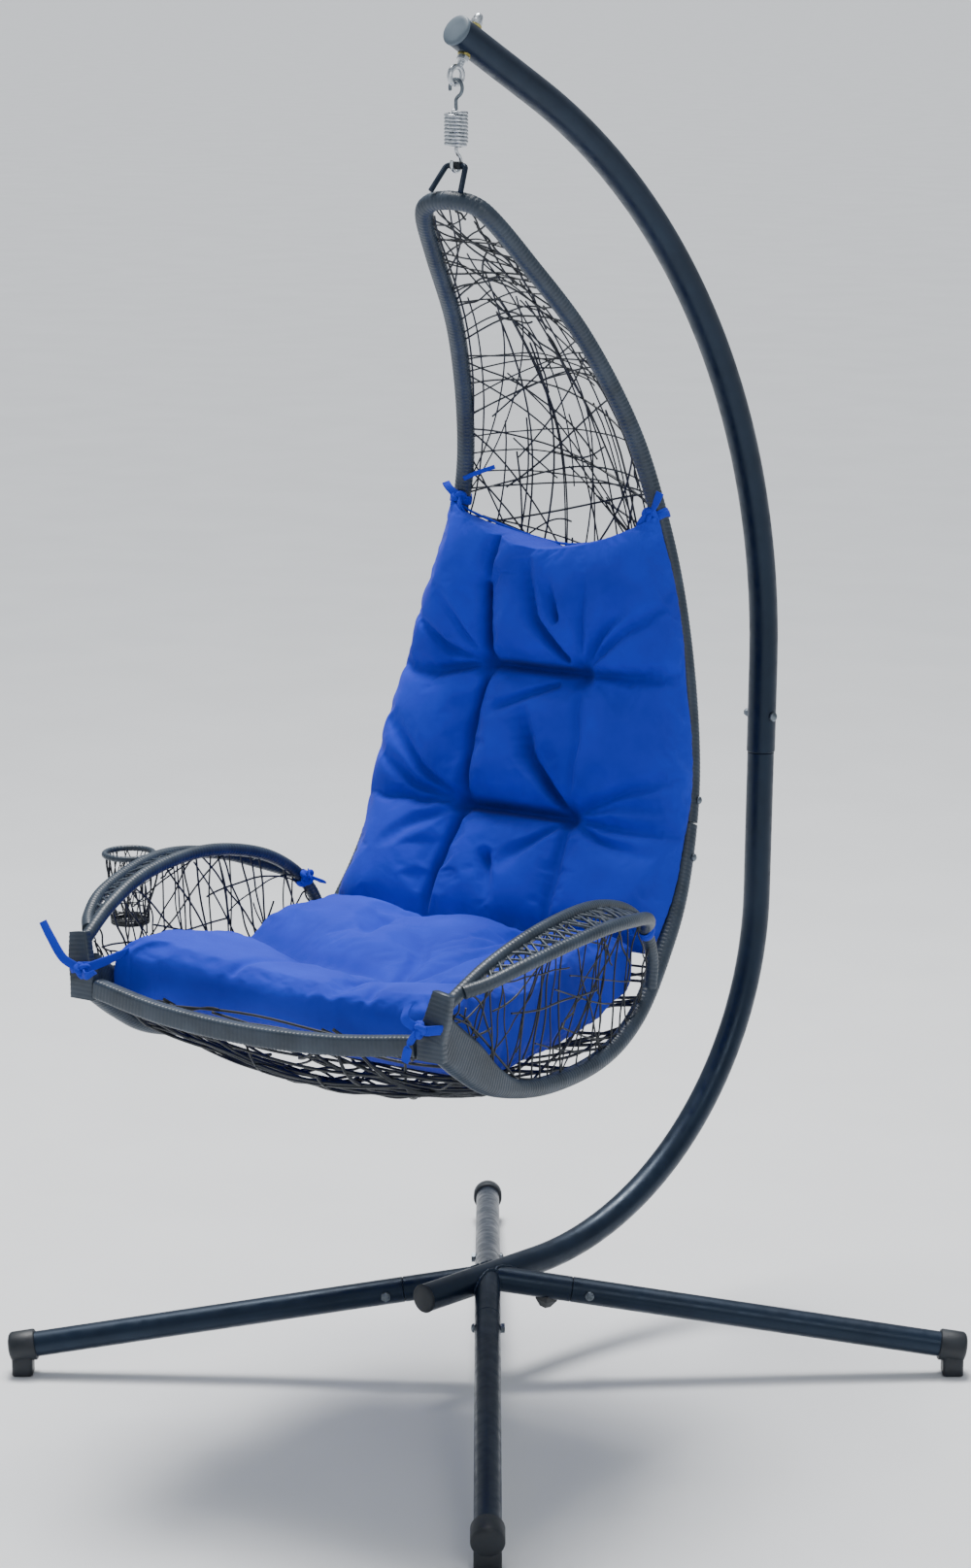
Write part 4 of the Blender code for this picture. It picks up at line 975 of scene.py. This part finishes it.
side_plan = [(20, "across"), (8, "along"), (22, "slant"), (6, "short")]
for side, word in SIDES:
    weave = open_weave(oval_grid(side), side_plan, 31 + side, 0.0013, 0.0018)
    chair_piece("side_weave_" + word, weave, STRAND, ["side_net_" + word])
    chair_piece("arm_weave_" + word, lattice(side, 41 + side), WRAP, ["arm_lattice_" + word])

# %% Cup holder
CUP = np.array((-0.4205, -0.228, 0.806))
CUP_RING_R = 0.0355
BASKET_R = 0.0335
BASKET_TAPER = 0.0065
angle = np.linspace(0, 2 * math.pi, 61)
ring = CUP + np.column_stack([np.cos(angle), np.sin(angle), np.zeros(61)]) * CUP_RING_R
chair_piece("cup_ring_wrapped", [wrapped(ring, 0.0046, 12, hint=(0, 0, 1), closed=True)], WRAP,
            ["cup_ring"])


def basket_parts():
    """A tapering basket: hoops, random slanting strands and a crossed bottom."""
    rng = np.random.default_rng(5)
    top = CUP - (0, 0, 0.004)
    drop = np.array((0, 0, -0.098))
    around = np.linspace(0, 2 * math.pi, 49)

    def hoop(t, r, wave=0.0):
        return top + drop * t + np.column_stack(
            [np.cos(around), np.sin(around), wave * np.sin(3 * around)]) * r

    grid = [hoop(t, BASKET_R - BASKET_TAPER * t) for t in np.linspace(0, 1, 12)]
    parts = []
    for _ in range(34):
        start = rng.uniform(0, 1)
        step = rng.uniform(0.06, 0.2) * rng.choice((-1, 1))
        start = (start + max(-step, 0)) % 1
        end = np.clip(start + step, 0, 1)
        parts.append(strand(grid, (0, start), (1, end), 0.0009, 0.0007, rng, 0.02))
    for t, thick in ((0.35, 0.0008), (0.62, 0.0008), (0.80, 0.0009)):
        ring = hoop(t, BASKET_R - BASKET_TAPER * t, 0.05)[:-1]
        parts.append(swept(ring, round_outline(thick, 6), closed=True))
    for t in (0.93, 0.97, 1.0):
        parts.append(swept(hoop(t, 0.0271)[:-1], round_outline(0.0016, 8), closed=True))
    for a in np.linspace(0, math.pi, 9)[:-1]:
        way = np.array((math.cos(a), math.sin(a), 0)) * (BASKET_R - BASKET_TAPER)
        base = top + drop + (0, 0, 0.001)
        parts.append(swept(even([base - way, base + way], 6), round_outline(0.0012, 6)))
    return parts


chair_piece("cup_basket_weave", basket_parts(), STRAND, ["cup_basket"])

# %% [markdown]
# ## The cushion
# The cushion is a loose canvas case filled with fibre. Thread is pulled right through it at four
# points, and the cloth, which has nowhere to go, gathers in folds that run to those tufts. The
# back pad is a front and a back sheet that meet in a seam, each pushed out by the filling. The
# folds are valleys pressed into the front sheet along lines between tufts and edges, wide and
# soft with a sharper crease at the bottom. Cloth simulation then lets the fabric swell between
# the pinned valleys, which rounds the lobes in a way that is hard to model by hand.

# %% Valleys in a padded sheet
def valley(points, line, depth, width):
    """How far a fold along a line presses in at each (across, along) point, in metres."""
    press = np.zeros(points.shape[:-1])
    line = np.asarray(line, float)
    for a, b in zip(line, line[1:]):
        way = b - a
        t = np.clip(((points - a) @ way) / (way @ way), 0, 1)
        gap = np.linalg.norm(points - (a + t[..., None] * way), axis=-1)
        press = np.maximum(press, depth * np.exp(-(gap / width) ** 2))
    return press


def tapered(points, line, depth, width, steps=13):
    """A fold that dies away and widens towards its far end."""
    line = even(np.column_stack([np.asarray(line, float), np.zeros(len(line))]), steps + 1)[:, :2]
    press = np.zeros(points.shape[:-1])
    for k, (a, b) in enumerate(zip(line, line[1:])):
        t = k / steps
        fold = valley(points, (a, b), depth * (1 - 0.925 * t ** 1.6), width * (0.7 + 0.5 * t))
        press = np.maximum(press, fold)
    return press


def border_hold(shape):
    """1 on the border of a grid and 0 inside it."""
    hold = np.zeros(shape)
    hold[0] = hold[-1] = 1
    hold[:, 0] = hold[:, -1] = 1
    return hold


def closed_sheet(front, back):
    """One closed skin from two grids that share their border."""
    rows, cols = front.shape[:2]
    f = np.arange(rows * cols).reshape(rows, cols)
    inner = border_hold((rows, cols)) == 0
    b = f.copy()
    b[inner] = rows * cols + np.arange(inner.sum())
    corners = np.vstack([front.reshape(-1, 3), back[inner]])
    front_faces = np.stack([f[:-1, :-1], f[:-1, 1:], f[1:, 1:], f[1:, :-1]], -1)
    back_faces = np.stack([b[:-1, :-1], b[1:, :-1], b[1:, 1:], b[:-1, 1:]], -1)
    return corners, np.stack([front_faces, back_faces], 2).reshape(-1, 4).tolist()


def spread(count, tight=0.75):
    """Fractions from -1 to 1 that crowd together towards both ends."""
    t = np.linspace(-1, 1, count)
    return (1 - tight) * t + tight * np.sin(t * math.pi / 2)


# %% Back pad
TUFTS = np.array(((-0.080, 1.042), (0.080, 1.042), (-0.090, 0.830), (0.090, 0.830)))
L1, R1, L2, R2 = TUFTS
BACK_FOLDS = [
    ((L1, R1), 0.030, 0.017), ((L2, R2), 0.030, 0.018),
    (((-0.070, 1.262), (-0.080, 1.205), (-0.087, 1.161)), 0.014, 0.009),
    (((-0.087, 1.161), (-0.083, 1.10), L1), 0.028, 0.012), ((L1, (-0.093, 0.93), L2), 0.022, 0.013),
    ((L2, (-0.100, 0.76), (-0.110, 0.66)), 0.024, 0.013),
    ((R1, (0.095, 0.94), R2), 0.008, 0.022), ((R2, (0.098, 0.74), (0.10, 0.66)), 0.013, 0.018),
]
BACK_RAYS = [
    (((-0.270, 1.030), (-0.17, 1.022), L1), 0.015, 0.013),
    (((-0.230, 1.120), (-0.15, 1.060), L1), 0.012, 0.010),
    (((-0.170, 1.150), (-0.12, 1.085), L1), 0.010, 0.009),
    (((-0.020, 1.215), (0.000, 1.116), (0.055, 1.060)), 0.018, 0.013),
    (((0.020, 1.180), (0.040, 1.120)), 0.012, 0.010),
    (((0.150, 1.150), (0.110, 1.100), R1), 0.015, 0.012),
    (((0.225, 1.170), (0.150, 1.110), R1), 0.012, 0.012),
    (((0.085, 1.200), (0.080, 1.120), R1), 0.010, 0.012),
    (((0.260, 1.062), (0.17, 1.045), R1), 0.016, 0.013),
    (((0.200, 0.990), (0.14, 1.020), R1), 0.006, 0.016),
    (((-0.065, 0.968), (0.000, 1.004), (0.045, 1.022)), 0.014, 0.012),
    (((-0.005, 0.975), (0.020, 0.905), R2), 0.024, 0.014),
    (((-0.245, 0.955), (-0.17, 0.872), L2), 0.013, 0.012),
    (((-0.262, 0.900), (-0.18, 0.848), L2), 0.013, 0.011),
    (((-0.250, 0.830), (-0.16, 0.826), L2), 0.010, 0.010),
    (((0.250, 0.905), (0.17, 0.870), R2), 0.014, 0.012),
    (((0.262, 0.862), (0.17, 0.852), R2), 0.010, 0.010),
    (((0.255, 0.820), (0.17, 0.822), R2), 0.012, 0.009),
    (((0.240, 0.780), (0.15, 0.800), R2), 0.011, 0.010),
    (((0.010, 0.745), (0.050, 0.790), R2), 0.014, 0.014),
    (((-0.020, 0.800), (-0.055, 0.818), L2), 0.010, 0.010),
    (((-0.210, 0.735), (-0.150, 0.790), L2), 0.008, 0.016),
    (((0.000, 0.690), (-0.020, 0.750)), 0.012, 0.014),
]
PAD_ROWS = 150
PAD_COLS = 130
keep = (rail_line[:, 2] > 0.668) & (rail_line[:, 2] < 1.292) & (rail_line[:, 1] > -0.1)
pad_line = even(rail_line[keep][::-1], 400)
pad_away = away(pad_line)
v = (spread(PAD_ROWS, 0.45)[:, None] + 1) / 2
u = spread(PAD_COLS, 0.7)[None, :]
v = v * (1 - 0.095 * smooth(v) * (1 - np.abs(u) ** 1.7)) + 0 * u
u = u + 0 * v


def along_pad(fraction):
    spot = fraction * (len(pad_line) - 1)
    low = np.clip(spot.astype(int), 0, len(pad_line) - 2)
    mix = (spot - low)[..., None]
    return (pad_line[low] * (1 - mix) + pad_line[low + 1] * mix,
            pad_away[low] * (1 - mix) + pad_away[low + 1] * mix)


spine, out = along_pad(v)
half = np.minimum(spine[..., 0] + 0.011, 0.2745)
height = spine[..., 2]
across = u * half * (1 - 0.014 * np.cos((height - 0.83) * math.pi / 0.212) ** 4)
flat = np.stack([across, height], -1)
press = np.zeros(flat.shape[:2])
for line, depth, width in BACK_FOLDS:
    press = np.maximum(press, valley(flat, line, depth * 0.75, width * 2.0))
    press = np.maximum(press, valley(flat, line, depth * 1.75, width * 0.62))
for line, depth, width in BACK_RAYS:
    press = np.maximum(press, tapered(flat, line[::-1], depth * 2.1, width * 0.9))
for spot in TUFTS:
    gap = np.linalg.norm(flat - spot, axis=-1)
    press = np.maximum(press, 0.036 * np.exp(-(gap / 0.020) ** 2)
                       + 0.010 * np.exp(-(gap / 0.055) ** 2))
lobes = 0.004 * np.cos(across * 2 * math.pi / 0.36)
for lower, upper in ((0.640, 0.830), (0.830, 1.042), (1.042, 1.270)):
    t = ((height - lower) / (upper - lower)).clip(0, 1)
    lobes = lobes + 0.050 * t ** 0.7 * (1 - t) ** 1.1
round_off = (((1 - np.abs(u) ** 5).clip(0) ** 0.5)
             * ((1 - np.abs(2 * v / v.max() - 1) ** 9).clip(0) ** 0.5))
front_height = (0.050 + lobes - press.clip(0, 0.052)) * round_off
back_height = -0.042 * (1 - (u / 0.84) ** 2).clip(0) * round_off
MIDDLE = 0.016
sheet = np.stack([across, spine[..., 1], height], -1)
front = sheet + out * (MIDDLE + front_height * 0.9)[..., None]
back = sheet + out * (MIDDLE + back_height)[..., None]
print("back pad, about", round(float(2 * half.max()), 2), "m wide")


# %% Let the cloth swell between its folds
def swell(obj, pinned, frames=14, pressure=3.0, most=0.012, shrink=-0.03):
    """Cloth simulation with the folds held, its result capped and applied."""
    group = obj.vertex_groups.new(name="held")
    for k, weight in enumerate(pinned):
        if weight > 0.01:
            group.add([k], float(min(weight, 1.0)), "REPLACE")
    before = np.zeros(len(obj.data.vertices) * 3)
    obj.data.vertices.foreach_get("co", before)
    cloth = obj.modifiers.new("swell", "CLOTH")
    settings = cloth.settings
    for name, value in {"quality": 5, "mass": 0.25, "tension_stiffness": 12,
                        "compression_stiffness": 12, "shear_stiffness": 4,
                        "bending_stiffness": 0.35, "use_pressure": True,
                        "uniform_pressure_force": pressure, "shrink_min": shrink,
                        "vertex_group_mass": "held", "pin_stiffness": 1.0}.items():
        setattr(settings, name, value)
    settings.effector_weights.gravity = 0
    cloth.point_cache.frame_start = 1
    cloth.point_cache.frame_end = frames
    scene = bpy.context.scene
    for f in range(1, frames + 1):
        scene.frame_set(f)
    depsgraph = bpy.context.evaluated_depsgraph_get()
    result = obj.evaluated_get(depsgraph).to_mesh()
    after = np.zeros(len(result.vertices) * 3)
    result.vertices.foreach_get("co", after)
    obj.evaluated_get(depsgraph).to_mesh_clear()
    obj.modifiers.remove(cloth)
    obj.vertex_groups.clear()
    scene.frame_set(1)
    move = (after - before).reshape(-1, 3)
    size = np.linalg.norm(move, axis=1)
    move *= np.minimum(1, most / np.maximum(size, 1e-9))[:, None]
    print(obj.name, "moved by up to", round(float(size.max()) * 1000, 1), "mm before the cap")
    obj.data.vertices.foreach_set("co", (before.reshape(-1, 3) + move).ravel())
    obj.data.update()


def finer(obj):
    """One subdivision of the finished cloth."""
    modifier = obj.modifiers.new("finer", "SUBSURF")
    modifier.levels = 1
    modifier.render_levels = 1
    depsgraph = bpy.context.evaluated_depsgraph_get()
    mesh = bpy.data.meshes.new_from_object(obj.evaluated_get(depsgraph))
    obj.modifiers.remove(modifier)
    obj.data = mesh


def cushion(name, front, back, held, fold, node, most=0.012):
    """A pad from its two sheets: swollen by the cloth simulation, then made finer."""
    corners, faces = closed_sheet(front, back)
    mesh = bpy.data.meshes.new(name)
    mesh.from_pydata(placed(corners, CHAIR).tolist(), [], faces)
    mesh.validate()
    obj = bpy.data.objects.new(name, mesh)
    bpy.context.scene.collection.objects.link(obj)
    mesh.materials.append(CANVAS)
    # Painted shade: the fold argument gives each corner of the front sheet the depth of its fold.
    # It is stored in the fold attribute, and the canvas is painted darker where that is high.
    painted_shade = np.zeros(len(corners), np.float32)
    painted_shade[:fold.size] = fold.ravel()
    mesh.attributes.new("fold", "FLOAT", "POINT").data.foreach_set("value", painted_shade)
    weights = np.zeros(len(corners))
    weights[:held.size] = held.ravel()
    swell(obj, weights, most=most)
    finer(obj)
    obj.data.shade_smooth()
    return settle(obj, "chair", [node])


back_hold = np.maximum(border_hold(press.shape), (press > 0.017) * 1.0)
# How much shade is painted into the back pad's canvas: more the deeper a fold is pressed in, and
# none at the rounded-off edges.
fold = ((press - 0.006) / 0.034).clip(0, 1) * round_off
cushion("back_cushion", front, back, back_hold, fold, "cushion_back_pad")

# %% [markdown]
# The seat pad is boxed: a strip of canvas stands between its top and bottom sheets, which shows
# as a front face. It leans into the corner by the arm on the sitter's right, where a tie pulls it
# up. Its top is soft, with a wide hollow where people sit and folds that run in to it.

# %% Seat pad
SEAT_ROWS = 110
SEAT_COLS = 130
v = (spread(SEAT_ROWS, 0.75)[:, None] + 1) / 2
u = spread(SEAT_COLS, 0.75)[None, :]
u = u + 0 * v
v = v + 0 * u
half = 0.266
across = u * half
front_edge = np.interp(across, (-0.262, -0.16, -0.08, 0.04, 0.21, 0.262),
                       (-0.474, -0.456, -0.446, -0.444, -0.440, -0.440))
depth_y = 0.050 + (front_edge - 0.050) * v
front_top = np.interp(across, (-0.262, -0.20, -0.08, 0.04, 0.21, 0.262),
                      (0.742, 0.740, 0.727, 0.722, 0.722, 0.728))
near_front = smooth((-0.20 - depth_y) / 0.22)
top = 0.706 + (front_top - 0.706) * near_front + 0.010 * np.abs(u) ** 3
flat = np.stack([across, depth_y], -1)
SEAT_FOLDS = [
    (((0.060, -0.266), (0.10, -0.16), (0.15, -0.06)), 0.010, 0.016),
    (((0.060, -0.266), (0.00, -0.22), (-0.10, -0.20), (-0.20, -0.19)), 0.008, 0.018),
    (((0.060, -0.266), (0.03, -0.15), (-0.02, -0.05)), 0.012, 0.014),
    (((0.060, -0.266), (0.07, -0.34), (0.075, -0.425)), 0.009, 0.012),
    (((0.060, -0.266), (0.13, -0.28), (0.22, -0.27)), 0.010, 0.015),
    (((-0.090, -0.436), (-0.085, -0.38), (-0.06, -0.33)), 0.006, 0.010),
    (((0.135, -0.430), (0.125, -0.38), (0.10, -0.33)), 0.006, 0.010),
    (((-0.11, -0.02), (-0.10, -0.08), (-0.07, -0.14)), 0.010, 0.012),
    (((0.09, 0.02), (0.10, -0.06), (0.08, -0.12)), 0.010, 0.012),
]
press = 0.012 * np.exp(-((across - 0.05) / 0.14) ** 2 - ((depth_y + 0.25) / 0.13) ** 2)
for line, depth, width in SEAT_FOLDS:
    press = press + tapered(flat, line, depth * 1.3, width)
channel = np.array(((-0.30, -0.150), (-0.20, -0.175), (-0.10, -0.215), (0.02, -0.250)))
press = press + tapered(flat, channel, 0.036, 0.050)
lobes = 0.005 * np.sin(across * 34 + 1) * np.cos(depth_y * 21) * (1 - near_front)
boxed = ((1 - np.abs(u) ** 22).clip(0) ** 0.27) * ((1 - np.abs(2 * v - 1) ** 30).clip(0) ** 0.27)
middle = 0.680 + 0.016 * near_front + (front_top - 0.724) * 0.4 * near_front
low = 0.597 + 0.058 * smooth((-0.30 - depth_y) / 0.15) + 0.020 * smooth((depth_y + 0.04) / 0.10)
top_z = middle + (top + lobes - press - middle) * boxed
low_z = middle + (low - middle) * boxed
pull_in = 1 - 0.010 * (1 - boxed)
seat_top = np.stack([across * pull_in, depth_y, top_z], -1)
seat_low = np.stack([across * pull_in, depth_y, low_z], -1)
seat_hold = np.maximum(border_hold(press.shape), (press > 0.012) * 1.0)
# How much shade is painted into the seat pad's canvas: more the deeper a fold is pressed in, up to
# 0.6.
fold = ((press - 0.010) / 0.050).clip(0, 0.6)
cushion("seat_cushion", seat_top[:, ::-1], seat_low[:, ::-1], seat_hold[:, ::-1],
        fold[:, ::-1], "cushion_seat_pad", most=0.007)

# %% [markdown]
# A lapped seam runs round the edge of the back pad, and sewn tapes at the cushion's corners are
# knotted round the rails. A knot is modelled as a short thick bend of tape, with loose tails that
# lie as they fall.

# %% Seam and ties
def seam_line(grid):
    """The border of a grid as one closed line."""
    return np.vstack([grid[0, :-1], grid[:-1, -1], grid[-1, :0:-1], grid[:0:-1, 0]])


def cord_seam(name, line, radius=0.0019):
    """A thin lapped edge along a closed line, gathered a little by its stitches."""
    line = np.vstack([line, line[:1]])
    path = even(line, int(length_of(line) / 0.006))[:-1]
    gathered = radius * (1 + 0.10 * np.sin(np.arange(len(path)) * 1.9))
    return chair_piece(name, [swelling(path, gathered, 8, closed=True)], CANVAS)


SEAM_INSET = 0.0045
edge = seam_line(back)
inward = edge.mean(0) - edge
cord_seam("back_seam", edge + SEAM_INSET * inward / np.linalg.norm(inward, axis=1)[:, None])


def ribbon(points, width, thick, count=40, twist=0.0, hint=(0, 0, 1)):
    """A flat tape through a few points that twists as it goes."""
    path = curve(points, count)
    outline = soft_rectangle(width / 2, thick / 2, thick * 0.45, 3)
    turn = np.linspace(0, twist, count)
    c, s = np.cos(turn)[:, None], np.sin(turn)[:, None]
    shape = np.stack([outline[None, :, 0] * c - outline[None, :, 1] * s,
                      outline[None, :, 0] * s + outline[None, :, 1] * c], -1)
    return swept(path, shape, hint)


def round_rail(centre, way, radius, width=0.013, thick=0.0022, start=0.0):
    """A tape wound round a rail."""
    angle = np.linspace(start, start + 2 * math.pi, 50)
    r = radius + thick / 2 + 0.0006 * np.sin(angle * 3)
    local = np.column_stack([np.cos(angle) * r, np.sin(angle) * r, 0.002 * np.sin(angle * 2)])
    return swept(placed(local, aim(centre, way)),
                 soft_rectangle(width / 2, thick / 2, thick * 0.45, 3), Vector(way).normalized())


def knot(centre, way, size=0.009, seed=0):
    """A tight bend of tape that reads as a knot."""
    rng = np.random.default_rng(seed)
    t = np.linspace(0, 2 * math.pi, 44, endpoint=False)
    local = np.column_stack([np.sin(t) + 2 * np.sin(2 * t), np.cos(t) - 2 * np.cos(2 * t),
                             -1.4 * np.sin(3 * t)]) * size * 0.30
    local += rng.uniform(-0.0004, 0.0004, local.shape)
    thick = size * (0.42 + 0.06 * np.sin(3 * t))
    return swelling(placed(local, aim(centre, way)), thick, 10, closed=True)


def rail_at(line, z=None, y=None):
    """Point and direction of a rail at a height or a depth."""
    gap = line[:, 2] - z if z is not None else line[:, 1] - y
    k = int(np.argmin(np.abs(gap)))
    return line[k], line[min(k + 1, len(line) - 1)] - line[max(k - 1, 0)]


def tie(name, centre, way, radius, toward, anchor, tails, seed):
    """Tape from a pad's corner, round a rail, into a knot with loose tails."""
    centre = np.array(centre, float)
    toward = np.array(toward, float) / np.linalg.norm(toward)
    spot = centre + toward * (radius + 0.006)
    parts = [round_rail(centre, way, radius),
             round_rail(centre + np.array(way) * 0.002, way, radius, 0.010, 0.0034, 0.9),
             knot(spot, toward, 0.010, seed)]
    middle = (spot + np.array(anchor)) / 2 + toward * 0.004
    parts.append(ribbon([spot, middle, anchor], 0.014, 0.0030, 24, 0.6, tuple(way)))
    for tail in tails:
        parts.append(ribbon([spot] + [spot + np.array(q) for q in tail], 0.012, 0.0022, 30, 0.9,
                            (0.3, 0.2, 1.0)))
    return chair_piece(name, parts, CANVAS, sharp=60)


for side, word in SIDES:
    at, way = rail_at(rail_line[rail_line[:, 1] > 0], z=1.285)
    at, way = at * (side, 1, 1), way * (side, 1, 1)
    anchor = at + np.array((-side * 0.020, -0.026, -0.024))
    tails = [[(side * 0.012, -0.006, 0.014), (side * 0.020, -0.004, 0.034 if side > 0 else 0.022)],
             [(-side * 0.006, -0.010, -0.012), (-side * 0.012, -0.012, -0.030)]]
    tie("top_tie_" + word, at, way / np.linalg.norm(way), RAIL_R, (-side * 0.3, -1, 0.1), anchor,
        tails, 60 + side)
    at, way = rail_at(arm_inner, y=0.030)
    at, way = at * (side, 1, 1), way * (side, 1, 1)
    anchor = at + np.array((-side * 0.034, 0.010, -0.006))
    tails = [[(-side * 0.010, -0.010, 0.010), (-side * 0.018, -0.018, 0.004)]]
    tie("middle_tie_" + word, at, way / np.linalg.norm(way), ARM_R, (-side, -0.4, 0.3), anchor,
        tails, 70 + side)
    centre = np.array((side * 0.288, -0.510, 0.722))
    if side < 0:
        anchor = (-0.246, -0.462, 0.738)
        tails = [[(-0.022, -0.012, 0.016), (-0.040, -0.016, 0.044), (-0.052, -0.018, 0.066)],
                 [(0.014, -0.010, -0.004), (0.026, -0.004, 0.002)]]
    else:
        anchor = (0.252, -0.440, 0.722)
        tails = [[(-0.006, -0.012, -0.016), (-0.012, -0.016, -0.042)],
                 [(-0.016, -0.008, 0.014), (-0.020, 0.006, 0.030)]]
    tie("front_tie_" + word, centre, (0.10 * side, 0.02, 1), 0.0155, (-side * 0.55, -0.8, 0),
        anchor, tails, 80 + side)

at, way = rail_at(rail_line[rail_line[:, 1] > 0], z=1.318)
at = at * (-1, 1, 1)
tape = [at + (0.006, -0.012, -0.002), at + (0.022, -0.004, 0.006), at + (0.046, 0.012, 0.016)]
chair_piece("loose_tape", [ribbon(tape, 0.007, 0.0025, 20, 0.4)], CANVAS, sharp=60)

# %% [markdown]
# ## The studio
# A pale floor and wide soft lights show shape and finish without hard shadows. The camera stands
# level with the top of the bow and looks down a little, with a long lens.

# %% Floor
def ground():
    bpy.ops.mesh.primitive_grid_add(x_subdivisions=2, y_subdivisions=2, size=500,
                                    location=(0, 0, -0.0005))
    obj = bpy.context.object
    obj.name = "studio_floor"
    mat, nodes, links, shader, where = finish_nodes("pale_floor", (0.80, 0.81, 0.82), 0.7)
    patch = noise(nodes, links, where, 3)
    links.new(between(nodes, links, patch, (0.79, 0.80, 0.81), (0.82, 0.83, 0.84)),
              shader.inputs["Base Color"])
    obj.data.materials.append(mat)


ground()


# %% Lights
def soft_light(name, spot, at, size, power, color=(1, 1, 1)):
    """A square lamp at a spot, turned to shine on another."""
    lamp = bpy.data.lights.new(name, "AREA")
    lamp.shape = "RECTANGLE"
    lamp.size = size
    lamp.size_y = size
    lamp.energy = power
    lamp.color = color
    obj = bpy.data.objects.new(name, lamp)
    obj.location = spot
    obj.rotation_euler = (Vector(at) - Vector(spot)).to_track_quat("-Z", "Y").to_euler()
    bpy.context.scene.collection.objects.link(obj)


world = bpy.data.worlds.new("studio")
bpy.context.scene.world = world
world.use_nodes = True
sky = world.node_tree.nodes["Background"]
sky.inputs["Color"].default_value = (0.86, 0.92, 1.0, 1)
sky.inputs["Strength"].default_value = 0.48
soft_light("overhead", (-0.9, 0.5, 4.6), (0, 0, 0.9), 1.7, 170, (1, 0.99, 0.97))
soft_light("front_left", (-2.6, -3.2, 3.0), (0, 0, 0.9), 1.8, 9, (0.90, 0.95, 1))
soft_light("front_right", (3.4, -1.6, 2.6), (0, 0, 0.9), 1.6, 24)
sun = bpy.data.lights.new("soft_sun", "SUN")
sun.energy = 2.3
sun.angle = math.radians(16)
sun_lamp = bpy.data.objects.new("soft_sun", sun)
sun_lamp.rotation_euler = Vector((0.30, -0.22, -1.0)).to_track_quat("-Z", "Y").to_euler()
bpy.context.scene.collection.objects.link(sun_lamp)

# %% Camera
CAMERA_BACK = 5.4151
CAMERA_HEIGHT = 2.1184
CAMERA_DOWN = 0.2212
camera = bpy.data.objects.new("camera", bpy.data.cameras.new("camera"))
bpy.context.scene.collection.objects.link(camera)
reach = CAMERA_BACK * math.sqrt(0.5)
camera.location = (reach, STAND_Y - reach, CAMERA_HEIGHT)
camera.rotation_euler = (math.pi / 2 - CAMERA_DOWN, 0, math.radians(45))
camera.data.lens = 87.8
camera.data.sensor_width = 36
camera.data.shift_x = -0.0014
camera.data.shift_y = 0.0025
bpy.context.scene.camera = camera
